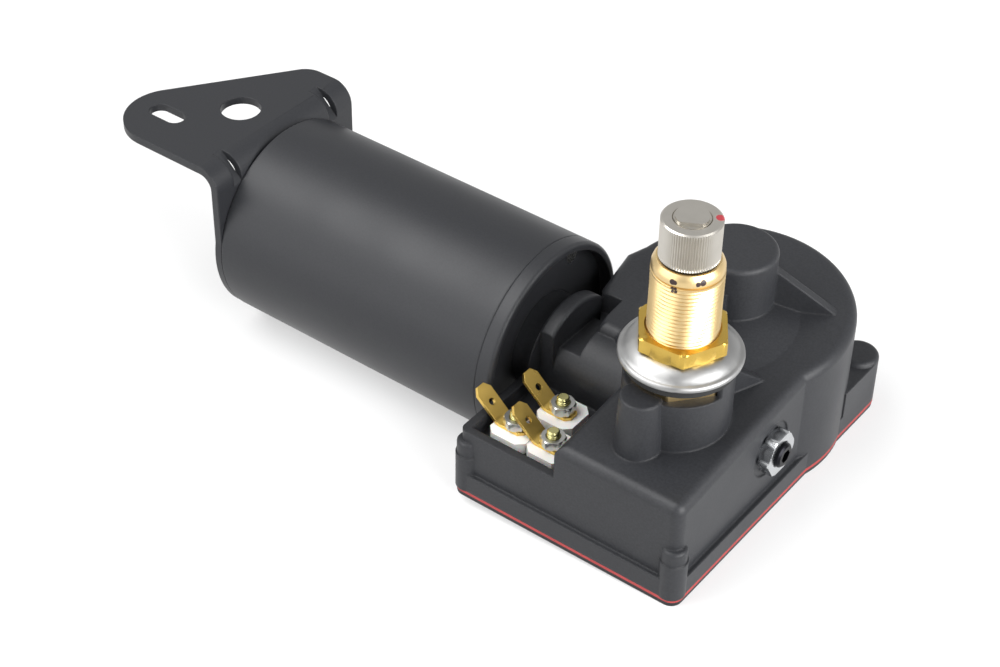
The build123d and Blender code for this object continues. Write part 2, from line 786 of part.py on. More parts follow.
with BuildPart() as windings:
    for start, length in ((core_start_x - end_turn, end_turn), (core_start_x + core_length, end_turn)):
        with BuildSketch(across(start)):
            with Locations((motor_y, motor_z)):
                Circle(core_radius - 1.6)
                Circle(motor_shaft_radius + 1.0, mode=Mode.SUBTRACT)
        extrude(amount=length)
        outer_edges = windings.edges().filter_by(GeomType.CIRCLE).group_by(Axis.X)
        fillet(outer_edges[0 if start < core_start_x else -1], 1.4)
    with BuildSketch(across(core_start_x)):
        with Locations((motor_y, motor_z)):
            with PolarLocations((core_radius + slot_floor) / 2 - 0.6, slot_count):
                Rectangle(core_radius - slot_floor - 1.8, slot_width - 0.6)
    extrude(amount=core_length)
save(windings.part, "armature_windings")

with BuildPart() as commutator_core:
    with BuildSketch(across(commutator_start_x)):
        with Locations((motor_y, motor_z)):
            Circle(segment_inner_radius)
            Circle(motor_shaft_radius, mode=Mode.SUBTRACT)
    extrude(amount=commutator_length)
save(commutator_core.part, "commutator_core")

with BuildPart() as segments:
    with BuildSketch(across(commutator_start_x)):
        with Locations((motor_y, motor_z)):
            Circle(commutator_radius)
            Circle(segment_inner_radius, mode=Mode.SUBTRACT)
            with PolarLocations(0, slot_count, start_angle=180 / slot_count):
                Rectangle(2 * commutator_radius, segment_gap, align=(Align.MIN, Align.CENTER),
                          mode=Mode.SUBTRACT)
    extrude(amount=commutator_length)
save(segments.part, "commutator_segments")

# ---- Brush gear ----
brush_x = commutator_start_x + commutator_length / 2
holder_start = commutator_radius + brush_gap + 1.6
holder_end = holder_start + holder_reach

with BuildPart() as brush_plate:
    with BuildSketch(across(brush_plate_x)):
        with Locations((motor_y, motor_z)):
            Circle(brush_plate_radius)
            Circle(commutator_radius + 1.5, mode=Mode.SUBTRACT)
            for side in (-1, 1):
                with Locations((side * (holder_start + (holder_reach + holder_cap) / 2), 0)):
                    Rectangle(holder_reach + holder_cap, holder_width, mode=Mode.SUBTRACT)
        with Locations(*bolt_places):
            Circle(bolt_radius + 1.2, mode=Mode.SUBTRACT)
    extrude(amount=brush_plate_thickness)
save(brush_plate.part, "brush_plate")

for piece_name, height, width, inner in (
        ("brush_holders", holder_height, holder_width, True), ("carbon_brushes", brush_height, brush_width, False)):
    with BuildPart() as brush_piece:
        for side in (-1, 1):
            start = holder_start if inner else commutator_radius + brush_gap
            length = holder_reach if inner else brush_length
            near_y = motor_y + side * start
            with BuildSketch(Plane.XZ.offset(-near_y)):
                with Locations((brush_x, motor_z)):
                    Rectangle(height, width)
                    if inner:
                        Rectangle(brush_height, brush_width, mode=Mode.SUBTRACT)
            extrude(amount=-side * length)
    save(brush_piece.part, piece_name)

spring_start = commutator_radius + brush_gap + brush_length
spring_length = holder_end - spring_start - 2 * spring_wire
spring_paths = [
    Plane(origin=(brush_x, motor_y + side * (spring_start + spring_wire), motor_z), x_dir=(1, 0, 0),
          z_dir=(0, side, 0)).location * Helix(spring_length / spring_turns, spring_length, spring_radius)
    for side in (-1, 1)]

with BuildPart() as springs:
    for path in spring_paths:
        with BuildSketch(Plane(origin=path @ 0, z_dir=path % 0)):
            Circle(spring_wire)
        sweep(path=path, is_frenet=True)
save(springs.part, "brush_springs")

with BuildPart() as end_covers:
    for side in (-1, 1):
        with BuildSketch(Plane.XZ.offset(-(motor_y + side * holder_end))):
            with Locations((brush_x, motor_z)):
                Rectangle(holder_height, holder_width)
        extrude(amount=-side * holder_cap)
save(end_covers.part, "brush_holder_caps")

# ---- Bushes, thrust pad, end screw and its jam nut ----
bush_bore = motor_shaft_radius + running_gap
for piece_name, start, end, radius in (
        ("front_bush", spigot_front_x, spigot_front_x + 8.0, front_bush_radius),
        ("rear_bush", rear_bush_end - 5.0, rear_bush_end, rear_bush_radius),
        ("tail_bush", tail_boss_x, tail_bush_end, tail_bush_radius)):
    with BuildPart() as bush:
        with BuildSketch(across(start)):
            with Locations((motor_y, motor_z)):
                Circle(radius)
                Circle(bush_bore, mode=Mode.SUBTRACT)
        extrude(amount=end - start)
    save(bush.part, piece_name)

with BuildPart() as thrust_pad:
    with BuildSketch(across(shaft_front_x + end_play)):
        with Locations((motor_y, motor_z)):
            Circle(thrust_pad_radius)
    extrude(amount=thrust_pad_length)
save(thrust_pad.part, "thrust_pad")

nut_face_x = right_x - side_step - spot_face_depth

with BuildPart() as end_screw:
    with BuildSketch(across(thrust_pad_end)):
        with Locations((motor_y, motor_z)):
            Circle(end_screw_radius)
    extrude(amount=end_screw_x - thrust_pad_end)
    chamfer(end_screw.edges().filter_by(GeomType.CIRCLE).group_by(Axis.X)[-1], 0.5)
    with BuildSketch(across(end_screw_x)):
        with Locations((motor_y, motor_z)):
            RegularPolygon(end_screw_socket / 2, 6, major_radius=False)
    extrude(amount=-end_screw_socket_depth, mode=Mode.SUBTRACT)
save(end_screw.part, "end_play_screw")

with BuildPart() as jam_nut:
    with BuildSketch(across(nut_face_x)):
        with Locations((motor_y, motor_z)):
            RegularPolygon(jam_nut_flat / 2, 6, major_radius=False, rotation=jam_nut_turn)
    extrude(amount=jam_nut_thickness)
    with BuildSketch(across(nut_face_x)):
        with Locations((motor_y, motor_z)):
            Circle(jam_nut_flat / sqrt(3) - 0.25)
    extrude(amount=jam_nut_thickness, mode=Mode.INTERSECT)
    with BuildSketch(across(nut_face_x)):
        with Locations((motor_y, motor_z)):
            Circle(end_screw_radius)
    extrude(amount=jam_nut_thickness, mode=Mode.SUBTRACT)
save(jam_nut.part, "jam_nut")

# ---- Worm gear, its pin and its contact ring ----
tooth_root = gear_y - motor_y - worm_tip - 0.25
tooth_tip = gear_pitch_radius + tooth_addendum
tooth_twist = degrees(worm_pitch / (2 * pi * worm_pitch_radius) / gear_pitch_radius)


def tooth_face(height):
    """Section of one gear tooth at a height, turned to follow the worm's lead."""
    turn = -90.0 + tooth_twist * (height - motor_height)
    with BuildSketch(level(height), mode=Mode.PRIVATE) as face:
        with Locations(Location((gear_x, gear_y, 0), (0, 0, turn))):
            Polygon(
                (tooth_root - 0.5, -tooth_root_width / 2), (tooth_tip, -tooth_tip_width / 2),
                (tooth_tip, tooth_tip_width / 2), (tooth_root - 0.5, tooth_root_width / 2), align=None)
    return face.sketch


with BuildPart() as tooth:
    loft([tooth_face(gear_bottom).faces()[0], tooth_face(gear_top).faces()[0]])

with BuildPart() as gear:
    with BuildSketch(level(gear_bottom)):
        with Locations((gear_x, gear_y)):
            Circle(tooth_root)
    extrude(amount=gear_thickness)
    with BuildSketch(level(gear_top)):
        with Locations((gear_x, gear_y)):
            Circle(tooth_root - 2.5)
            Circle(gear_hub_radius + 3.0, mode=Mode.SUBTRACT)
    extrude(amount=-2.5, mode=Mode.SUBTRACT)
    with BuildSketch(level(gear_bottom - hub_step)):
        with Locations((gear_x, gear_y)):
            Circle(gear_hub_radius - 1.5)
    extrude(amount=hub_step)
    for index in range(gear_teeth):
        add(tooth.part.rotate(Axis((gear_x, gear_y, 0), (0, 0, 1)), index * 360 / gear_teeth))
    with BuildSketch(level(gear_bottom - hub_step)):
        with Locations((gear_x, gear_y)):
            Circle(pivot_pin_radius + running_gap)
        with Locations(crank_pin):
            Circle(crank_pin_radius)
    extrude(amount=gear_thickness + hub_step, mode=Mode.SUBTRACT)
save(gear.part, "worm_gear")

with BuildPart() as pivot_pin:
    with BuildSketch(level(pin_bottom)):
        with Locations((gear_x, gear_y)):
            Circle(pivot_pin_radius)
    extrude(amount=pin_top - pin_bottom)
    chamfer(pivot_pin.edges().group_by(Axis.Z)[0], 0.4)
    with BuildSketch(level(clip_bottom)):
        with Locations((gear_x, gear_y)):
            Circle(pivot_pin_radius)
            Circle(pivot_pin_radius - clip_depth, mode=Mode.SUBTRACT)
    extrude(amount=clip_thickness, mode=Mode.SUBTRACT)
save(pivot_pin.part, "gear_pivot_pin")

with BuildPart() as gear_washer:
    with BuildSketch(level(clip_bottom + clip_thickness)):
        with Locations((gear_x, gear_y)):
            Circle(pivot_pin_radius + washer_rim)
            Circle(pivot_pin_radius, mode=Mode.SUBTRACT)
    extrude(amount=gear_bottom - hub_step - 0.1 - clip_thickness - clip_bottom)
save(gear_washer.part, "gear_thrust_washer")


def snap_ring(centre, groove_radius, outer, bottom):
    """Open ring that snaps into a pin's groove."""
    with BuildPart(mode=Mode.PRIVATE) as ring:
        with BuildSketch(level(bottom)):
            with Locations(centre):
                Circle(outer)
                Circle(groove_radius, mode=Mode.SUBTRACT)
                Rectangle(2 * outer, groove_radius, align=(Align.MIN, Align.CENTER), mode=Mode.SUBTRACT)
        extrude(amount=clip_thickness)
    return ring.part


save(snap_ring((gear_x, gear_y), pivot_pin_radius - clip_depth, pivot_pin_radius + clip_rim, clip_bottom), "gear_clip")

with BuildPart() as contact_ring:
    with BuildSketch(level(gear_bottom - contact_thickness)):
        with Locations((gear_x, gear_y)):
            Circle(contact_outer)
            Circle(contact_inner, mode=Mode.SUBTRACT)
            with Locations(Location((0, 0, 0), (0, 0, 120))):
                Rectangle(30, 3.0, align=(Align.MIN, Align.CENTER), mode=Mode.SUBTRACT)
    extrude(amount=contact_thickness)
save(contact_ring.part, "park_contact_ring")

# ---- Crank pin, link and lever ----
link_top = link_bottom + link_thickness
with BuildPart() as crank:
    with BuildSketch(level(link_top + open_pivot_gap)):
        with Locations(crank_pin):
            Circle(crank_pin_radius)
    extrude(amount=gear_top - link_top - open_pivot_gap)
save(crank.part, "crank_pin")

link_middle = ((crank_pin[0] + lever_pin[0]) / 2, (crank_pin[1] + lever_pin[1]) / 2)
link_length = hypot(crank_pin[0] - lever_pin[0], crank_pin[1] - lever_pin[1])
link_angle = degrees(atan2(crank_pin[1] - lever_pin[1], crank_pin[0] - lever_pin[0]))

with BuildPart() as link:
    with BuildSketch(level(link_bottom)):
        with Locations(Location((link_middle[0], link_middle[1], 0), (0, 0, link_angle))):
            Rectangle(link_length, link_width)
        with Locations(crank_pin, lever_pin):
            Circle(link_eye_radius)
        with Locations(lever_pin):
            Circle(crank_pin_radius + running_gap, mode=Mode.SUBTRACT)
        with Locations(crank_pin):
            Circle(crank_pin_radius, mode=Mode.SUBTRACT)
    extrude(amount=link_thickness)
save(link.part, "connecting_link")

with BuildPart() as journal:
    with BuildSketch(level(link_bottom - clip_thickness - clip_tail)):
        with Locations(crank_pin):
            Circle(crank_pin_radius)
    extrude(amount=link_thickness + clip_thickness + clip_tail)
    with BuildSketch(level(link_bottom - clip_thickness)):
        with Locations(crank_pin):
            Circle(crank_pin_radius)
            Circle(crank_pin_radius - clip_depth, mode=Mode.SUBTRACT)
    extrude(amount=clip_thickness, mode=Mode.SUBTRACT)
save(journal.part, "link_journal")
save(snap_ring(crank_pin, crank_pin_radius - clip_depth, crank_pin_radius + clip_rim, link_bottom - clip_thickness),
     "crank_clip")

lever_bottom = link_top + link_gap
lever_top = lever_bottom + lever_thickness
with BuildPart() as lever:
    with BuildSketch(level(lever_bottom)):
        with BuildLine():
            CenterArc((0, 0), lever_hub_radius, 0, 360)
            CenterArc(lever_pin, link_eye_radius - 0.6, 0, 360)
        make_hull()
        Circle(output_foot_radius, mode=Mode.SUBTRACT)
        with Locations(lever_pin):
            Circle(crank_pin_radius, mode=Mode.SUBTRACT)
    extrude(amount=lever_thickness)
save(lever.part, "drive_lever")

with BuildPart() as lever_pin_piece:
    with BuildSketch(level(link_bottom - clip_thickness - clip_tail - 0.1)):
        with Locations(lever_pin):
            Circle(crank_pin_radius)
    extrude(amount=lever_top - link_bottom + clip_thickness + clip_tail + 0.1)
    with BuildSketch(level(link_bottom - clip_thickness - 0.1)):
        with Locations(lever_pin):
            Circle(crank_pin_radius)
            Circle(crank_pin_radius - clip_depth, mode=Mode.SUBTRACT)
    extrude(amount=clip_thickness, mode=Mode.SUBTRACT)
save(lever_pin_piece.part, "lever_pin")
save(snap_ring(lever_pin, crank_pin_radius - clip_depth, crank_pin_radius + clip_rim,
               link_bottom - clip_thickness - 0.1), "lever_clip")

# ---- Output shaft, driver, bushing and what clamps the panel ----
with BuildPart() as output_shaft:
    for bottom, top, radius in (
            (lever_bottom - 0.1, lever_top, output_foot_radius), (lever_top, driver_bottom, output_radius),
            (driver_bottom, driver_top, driver_seat_radius), (driver_top, shaft_tip, shaft_tip_radius)):
        with BuildSketch(level(bottom)):
            Circle(radius)
        extrude(amount=top - bottom)
    with BuildSketch(level(driver_top)):
        with Locations(Location((0, 0, 0), (0, 0, driver_flat_turn))):
            with Locations((shaft_tip_radius - 0.9, 0)):
                Rectangle(4.0, 12.0, align=(Align.MIN, Align.CENTER))
    extrude(amount=2.0, mode=Mode.SUBTRACT)
save(output_shaft.part, "output_shaft")

with BuildPart() as driver:
    with BuildSketch(level(driver_bottom)):
        Circle(driver_radius)
    extrude(amount=driver_top - driver_bottom)
    chamfer(driver.edges().group_by(Axis.Z)[-1], 0.3)
    chamfer(driver.edges().group_by(Axis.Z)[0], 0.3)
    with BuildSketch(level(driver_bottom)):
        Circle(driver_seat_radius)
    extrude(amount=driver_top - driver_bottom, mode=Mode.SUBTRACT)
save(driver.part, "knurled_driver")

with BuildPart() as lever_washer:
    with BuildSketch(level(lever_top + 0.05)):
        Circle(shank_radius)
        Circle(output_radius, mode=Mode.SUBTRACT)
    extrude(amount=bushing_bottom - lever_top - 0.15)
save(lever_washer.part, "lever_spacer")

with BuildPart() as bushing:
    with BuildSketch(level(bushing_bottom)):
        Circle(shank_radius)
    extrude(amount=bushing_land - bushing_bottom)
    with BuildSketch(level(bushing_land)):
        RegularPolygon(hex_across_flats / 2, 6, major_radius=False, rotation=hex_turn)
    extrude(amount=seat_height - bushing_land)
    with BuildSketch(level(seat_height)):
        Circle(thread_radius)
    extrude(amount=collar_top - seat_height)
    chamfer(bushing.edges().group_by(Axis.Z)[-1], collar_top - thread_top, 1.0)
    with BuildSketch(level(nut_bottom + nut_thickness)):
        Circle(thread_radius)
        Circle(relief_radius, mode=Mode.SUBTRACT)
    extrude(amount=-relief_width, mode=Mode.SUBTRACT)
    with BuildSketch(level(bushing_bottom)):
        Circle(output_radius + running_gap)
    extrude(amount=collar_top - bushing_bottom, mode=Mode.SUBTRACT)
    with BuildSketch(level(collar_top - seal_depth)):
        Circle(seal_radius)
    extrude(amount=seal_depth, mode=Mode.SUBTRACT)
save(bushing.part, "pivot_bushing")

with BuildPart() as shaft_seal:
    with BuildSketch(level(collar_top - seal_depth)):
        Circle(seal_radius)
        Circle(output_radius + running_gap, mode=Mode.SUBTRACT)
    extrude(amount=seal_depth - seal_recess)
save(shaft_seal.part, "shaft_seal")

with BuildPart() as rubber_washer:
    with BuildSketch(level(seat_height)):
        Circle(rubber_radius)
        Circle(thread_radius, mode=Mode.SUBTRACT)
    extrude(amount=rubber_thickness)
    fillet(rubber_washer.edges().filter_by(lambda edge: edge.length > 2 * pi * (rubber_radius - 1)), 0.5)
save(rubber_washer.part, "rubber_washer")

washer_seat = seat_height + rubber_thickness
with BuildPart() as dome_washer:
    with BuildSketch(Plane.XZ.offset(0)):
        with BuildLine():
            Polyline(
                (thread_radius + 0.1, up(nut_bottom)), (dome_flat_radius, up(nut_bottom)),
                (dome_washer_radius - 1.9, up(washer_seat + 1.5)), (dome_washer_radius - 0.5, up(washer_seat + 1.1)),
                (dome_washer_radius, up(washer_seat + 0.5)), (dome_washer_radius - 0.5, up(washer_seat)),
                (dome_washer_radius - 2.2, up(washer_seat)),
                (dome_flat_radius - 0.4, up(nut_bottom - 1.2)), (thread_radius + 0.1, up(nut_bottom - 1.2)), close=True)
        make_face()
    revolve(axis=Axis.Z)
save(dome_washer.part, "dome_washer")

with BuildPart() as mounting_nut:
    with BuildSketch(level(nut_bottom)):
        RegularPolygon(hex_across_flats / 2, 6, major_radius=False, rotation=nut_turn)
    extrude(amount=nut_thickness)
    with BuildSketch(level(nut_bottom)):
        Circle(hex_corner - 0.3)
    extrude(amount=nut_thickness, mode=Mode.INTERSECT)
    with BuildSketch(level(nut_bottom)):
        Circle(thread_radius)
    extrude(amount=nut_thickness, mode=Mode.SUBTRACT)
save(mounting_nut.part, "mounting_nut")

# ---- Terminals ----
with BuildPart() as insulators:
    for x, y in terminal_places:
        with BuildSketch(level(terminal_floor)):
            with Locations((x, y)):
                Rectangle(insulator_length, insulator_width)
        extrude(amount=insulator_height)
    chamfer(insulators.edges().filter_by(Axis.Z), 1.8)
    with BuildSketch(level(terminal_floor)):
        with Locations(*terminal_places):
            Circle(sleeve_radius)
    extrude(amount=-case_wall)
    with BuildSketch(level(terminal_floor - case_wall)):
        with Locations(*terminal_places):
            Circle(stud_radius)
    extrude(amount=case_wall + insulator_height, mode=Mode.SUBTRACT)
save(insulators.part, "terminal_insulators")

insulator_top = terminal_floor + insulator_height
with BuildPart() as studs:
    with BuildSketch(level(terminal_floor - case_wall - stud_head)):
        with Locations(*terminal_places):
            RegularPolygon(stud_head_flat / 2, 6, major_radius=False)
    extrude(amount=stud_head)
    with BuildSketch(level(terminal_floor - case_wall)):
        with Locations(*terminal_places):
            Circle(stud_radius)
    extrude(amount=stud_top - terminal_floor + case_wall)
    chamfer(studs.edges().group_by(Axis.Z)[-1], 0.4)
save(studs.part, "terminal_studs")

blade_rise = blade_length * sin(radians(blade_angle))
blade_run = blade_length * cos(radians(blade_angle))
blade_bend_x = -stud_eye - 0.4
with BuildPart() as blades:
    for x, y in terminal_places:
        bend_x = x + blade_bend_x
        with BuildSketch(Plane.XZ.offset(-(y - blade_width / 2))):
            with BuildLine():
                Polyline(
                    (x + stud_eye, up(insulator_top)), (x + stud_eye, up(insulator_top + blade_thickness)),
                    (bend_x + 0.35, up(insulator_top + blade_thickness)),
                    (bend_x - blade_run + 0.6, up(insulator_top + blade_rise + 0.5)),
                    (bend_x - blade_run, up(insulator_top + blade_rise)),
                    (bend_x, up(insulator_top)), close=True)
            make_face()
        extrude(amount=-blade_width)
    with BuildSketch(level(insulator_top - 1.0)):
        with Locations(*terminal_places):
            Circle(stud_radius)
    extrude(amount=3.0, mode=Mode.SUBTRACT)
save(blades.part, "spade_terminals")

with BuildPart() as terminal_nuts:
    with BuildSketch(level(insulator_top + blade_thickness)):
        with Locations(*terminal_places):
            RegularPolygon(terminal_nut_flat / 2, 6, major_radius=False, rotation=30)
    extrude(amount=terminal_nut_thickness)
    with BuildSketch(level(insulator_top + blade_thickness)):
        with Locations(*terminal_places):
            Circle(stud_radius)
    extrude(amount=terminal_nut_thickness, mode=Mode.SUBTRACT)
save(terminal_nuts.part, "terminal_nuts")

# ---- Park switch: an insulating block on the cover, with two spring fingers under the gear's ring ----
with BuildPart() as switch_block:
    with BuildSketch(level(cover_top)):
        with Locations(switch_place):
            Rectangle(switch_length, switch_width)
    extrude(amount=switch_height)
save(switch_block.part, "park_switch_block")

with BuildPart() as fingers:
    for offset_y in (-finger_spacing / 2, finger_spacing / 2):
        y = switch_place[1] + offset_y
        with BuildSketch(Plane.XZ.offset(-(y - finger_width / 2))):
            with BuildLine():
                Polyline(
                    (switch_place[0] - 2.0, up(cover_top + switch_height)),
                    (switch_place[0] + 2.0, up(cover_top + switch_height)),
                    (finger_tip_x, up(gear_bottom - contact_thickness - finger_gap - finger_thickness)),
                    (finger_tip_x, up(gear_bottom - contact_thickness - finger_gap)),
                    (switch_place[0] + 1.8, up(cover_top + switch_height + finger_thickness)),
                    (switch_place[0] - 2.0, up(cover_top + switch_height + finger_thickness)), close=True)
            make_face()
        extrude(amount=-finger_width)
save(fingers.part, "park_contact_fingers")
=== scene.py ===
from math import atan2, cos, degrees, pi, radians, sin, sqrt

import bmesh
import bpy
from mathutils import Matrix, Vector


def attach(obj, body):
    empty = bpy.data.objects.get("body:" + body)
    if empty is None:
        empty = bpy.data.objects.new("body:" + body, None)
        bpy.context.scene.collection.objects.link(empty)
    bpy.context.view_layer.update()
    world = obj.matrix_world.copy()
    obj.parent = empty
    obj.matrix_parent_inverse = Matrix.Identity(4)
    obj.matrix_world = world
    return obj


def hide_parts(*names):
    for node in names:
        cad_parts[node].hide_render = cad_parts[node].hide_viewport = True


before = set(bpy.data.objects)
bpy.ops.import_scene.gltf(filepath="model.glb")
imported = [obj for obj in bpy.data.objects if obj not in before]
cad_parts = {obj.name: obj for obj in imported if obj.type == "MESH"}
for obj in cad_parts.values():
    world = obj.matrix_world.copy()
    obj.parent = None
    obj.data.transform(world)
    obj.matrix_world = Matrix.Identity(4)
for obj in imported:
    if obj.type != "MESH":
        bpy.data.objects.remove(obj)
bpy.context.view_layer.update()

# ---- Gear case ----
# A die-cast zinc box with ribs, bosses and a tray for the terminals, all one casting and then powder coated.
# The coat is satin black with a fine orange peel, and it rounds every edge a little.


def linear(colour):
    """An sRGB hex colour as the linear colour that a node takes."""
    parts = [int(colour[i:i + 2], 16) / 255 for i in (1, 3, 5)]
    return tuple(c / 12.92 if c <= 0.04045 else ((c + 0.055) / 1.055) ** 2.4 for c in parts) + (1.0,)


def add_node(tree, kind, values=None, **settings):
    """Adds one node. A value is either what its input is set to or the output it is linked from."""
    made = tree.nodes.new(kind)
    for name, setting in settings.items():
        setattr(made, name, setting)
    for name, value in (values or {}).items():
        if isinstance(value, bpy.types.NodeSocket):
            tree.links.new(value, made.inputs[name])
        else:
            made.inputs[name].default_value = value
    return made


def new_finish(name):
    """An empty material: its tree, the object's own coordinates in metres, and the place its shader goes."""
    material = bpy.data.materials.new(name)
    material.use_nodes = True
    tree = material.node_tree
    tree.nodes.clear()
    output = add_node(tree, "ShaderNodeOutputMaterial")
    coordinates = add_node(tree, "ShaderNodeTexCoord").outputs["Object"]
    return material, tree, coordinates, output.inputs["Surface"]


def powder_coat(name, colour, dull, shine, peel_mm, peel_depth_mm, edge_mm):
    """Satin enamel: a broad sheen that varies a little, orange peel, and edges that the coat rounds."""
    cloud_mm = 22.0
    gloss = 0.34
    material, tree, place, surface = new_finish(name)
    peel = add_node(tree, "ShaderNodeTexNoise", {
        "Vector": place, "Scale": 1000 / peel_mm, "Detail": 2.0, "Roughness": 0.55})
    cloud = add_node(tree, "ShaderNodeTexNoise", {"Vector": place, "Scale": 1000 / cloud_mm, "Detail": 3.0})
    sheen = add_node(tree, "ShaderNodeMapRange", {
        "Value": cloud.outputs["Fac"], "From Min": 0.3, "From Max": 0.7, "To Min": shine, "To Max": dull})
    shade = add_node(tree, "ShaderNodeMapRange", {
        "Value": peel.outputs["Fac"], "From Min": 0.3, "From Max": 0.7, "To Min": 0.0, "To Max": 1.0})
    tone = add_node(tree, "ShaderNodeMix", {
        0: shade.outputs["Result"], 6: linear(colour[0]), 7: linear(colour[1])}, data_type="RGBA")
    rounded = add_node(tree, "ShaderNodeBevel", {"Radius": edge_mm / 1000}, samples=4)
    bump = add_node(tree, "ShaderNodeBump", {
        "Strength": 0.5, "Distance": peel_depth_mm / 1000, "Height": peel.outputs["Fac"],
        "Normal": rounded.outputs["Normal"]})
    shader = add_node(tree, "ShaderNodeBsdfPrincipled", {
        "Base Color": tone.outputs[2], "Roughness": sheen.outputs["Result"], "Normal": bump.outputs["Normal"],
        "IOR": 1.5, "Specular IOR Level": gloss})
    tree.links.new(shader.outputs[0], surface)
    return material


def dress(material, *nodes):
    """Gives CAD nodes their finish."""
    for node in nodes:
        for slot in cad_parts[node].material_slots:
            slot.material = material


cast_coat = powder_coat(
    "satin_powder_coat_on_casting", ("#232427", "#2b2c2f"),
    dull=0.50, shine=0.40, peel_mm=0.55, peel_depth_mm=0.035, edge_mm=0.7)
dress(cast_coat, "gear_housing")

# ---- Cover, gasket and cover screws ----
# A pressed steel plate closes the case from below over a red sheet gasket, whose edge shows as a thin line.
# Five zinc-plated cross-head screws hold it.
cover_coat = powder_coat(
    "black_paint_on_cover", ("#1a1a1c", "#202123"),
    dull=0.5, shine=0.42, peel_mm=0.8, peel_depth_mm=0.02, edge_mm=0.3)
dress(cover_coat, "cover_plate")


def moulded(name, colour, dull, grain_mm, grain_depth_mm, soft=0.0):
    """Moulded or cut rubber and plastic: an even colour with a faint mottle and a fine grain."""
    mottle_mm = grain_mm * 14
    material, tree, place, surface = new_finish(name)
    grain = add_node(tree, "ShaderNodeTexNoise", {"Vector": place, "Scale": 1000 / grain_mm, "Detail": 3.0})
    mottle = add_node(tree, "ShaderNodeTexNoise", {"Vector": place, "Scale": 1000 / mottle_mm, "Detail": 2.0})
    tone = add_node(tree, "ShaderNodeMix", {
        0: mottle.outputs["Fac"], 6: linear(colour[0]), 7: linear(colour[1])}, data_type="RGBA")
    bump = add_node(tree, "ShaderNodeBump", {
        "Strength": 0.5, "Distance": grain_depth_mm / 1000, "Height": grain.outputs["Fac"]})
    shader = add_node(tree, "ShaderNodeBsdfPrincipled", {
        "Base Color": tone.outputs[2], "Roughness": dull, "Normal": bump.outputs["Normal"],
        "Subsurface Weight": soft, "Subsurface Scale": 0.001})
    tree.links.new(shader.outputs[0], surface)
    return material


gasket_sheet = moulded(
    "red_gasket_sheet", ("#8d2a2c", "#a83a39"), dull=0.62, grain_mm=0.4, grain_depth_mm=0.03)
dress(gasket_sheet, "cover_gasket")


def plated(name, colour, dull, grain_mm, grain_depth_mm, stretch=(1, 1, 1), edge_mm=0.15):
    """Plated or bare metal: a bright surface with fine marks, drawn out one way where it was brushed."""
    cloud_mm = 4.0
    material, tree, place, surface = new_finish(name)
    drawn = add_node(tree, "ShaderNodeMapping", {"Vector": place, "Scale": stretch})
    marks = add_node(tree, "ShaderNodeTexNoise", {
        "Vector": drawn.outputs["Vector"], "Scale": 1000 / grain_mm, "Detail": 3.0, "Roughness": 0.6})
    cloud = add_node(tree, "ShaderNodeTexNoise", {"Vector": place, "Scale": 1000 / cloud_mm, "Detail": 2.0})
    sheen = add_node(tree, "ShaderNodeMapRange", {
        "Value": cloud.outputs["Fac"], "From Min": 0.3, "From Max": 0.7,
        "To Min": dull * 0.8, "To Max": dull * 1.25})
    tone = add_node(tree, "ShaderNodeMix", {
        0: cloud.outputs["Fac"], 6: linear(colour[0]), 7: linear(colour[1])}, data_type="RGBA")
    rounded = add_node(tree, "ShaderNodeBevel", {"Radius": edge_mm / 1000}, samples=4)
    bump = add_node(tree, "ShaderNodeBump", {
        "Strength": 0.4, "Distance": grain_depth_mm / 1000, "Height": marks.outputs["Fac"],
        "Normal": rounded.outputs["Normal"]})
    shader = add_node(tree, "ShaderNodeBsdfPrincipled", {
        "Base Color": tone.outputs[2], "Metallic": 1.0, "Roughness": sheen.outputs["Result"],
        "Normal": bump.outputs["Normal"]})
    tree.links.new(shader.outputs[0], surface)
    return material


zinc = plated("zinc_plated_steel", ("#b4b5b3", "#c6c6c2"), dull=0.3, grain_mm=0.5, grain_depth_mm=0.01)
dress(zinc, "cover_screws")

# ---- Worm gear, its pin and the park switch ----
# The gear is moulded nylon on a ground steel pin, and carries the crank pin and a brass contact ring.
# Two sprung fingers on a laminate block feel the ring, so that the blade parks at one end of its swing.
nylon = moulded(
    "natural_nylon", ("#e4e1d8", "#efece4"), dull=0.42, grain_mm=0.6, grain_depth_mm=0.01, soft=0.15)
ground_steel = plated(
    "ground_steel", ("#a5a5a6", "#b4b4b4"), dull=0.22, grain_mm=0.2, grain_depth_mm=0.004, stretch=(1, 1, 12))
spring_brass = plated("spring_brass", ("#b8913f", "#c9a24c"), dull=0.28, grain_mm=0.4, grain_depth_mm=0.006)
laminate = moulded(
    "brown_phenolic_laminate", ("#4a2a17", "#5a3520"), dull=0.5, grain_mm=0.5, grain_depth_mm=0.02)
dress(nylon, "worm_gear", "thrust_pad")
dress(ground_steel, "gear_pivot_pin", "crank_pin", "lever_pin", "link_journal", "armature_shaft")
dress(zinc, "gear_clip", "gear_thrust_washer", "crank_clip", "lever_clip", "connecting_link", "drive_lever",
      "lever_spacer")
dress(spring_brass, "park_contact_ring", "park_contact_fingers", "brush_holders")
dress(laminate, "park_switch_block", "brush_plate", "commutator_core")

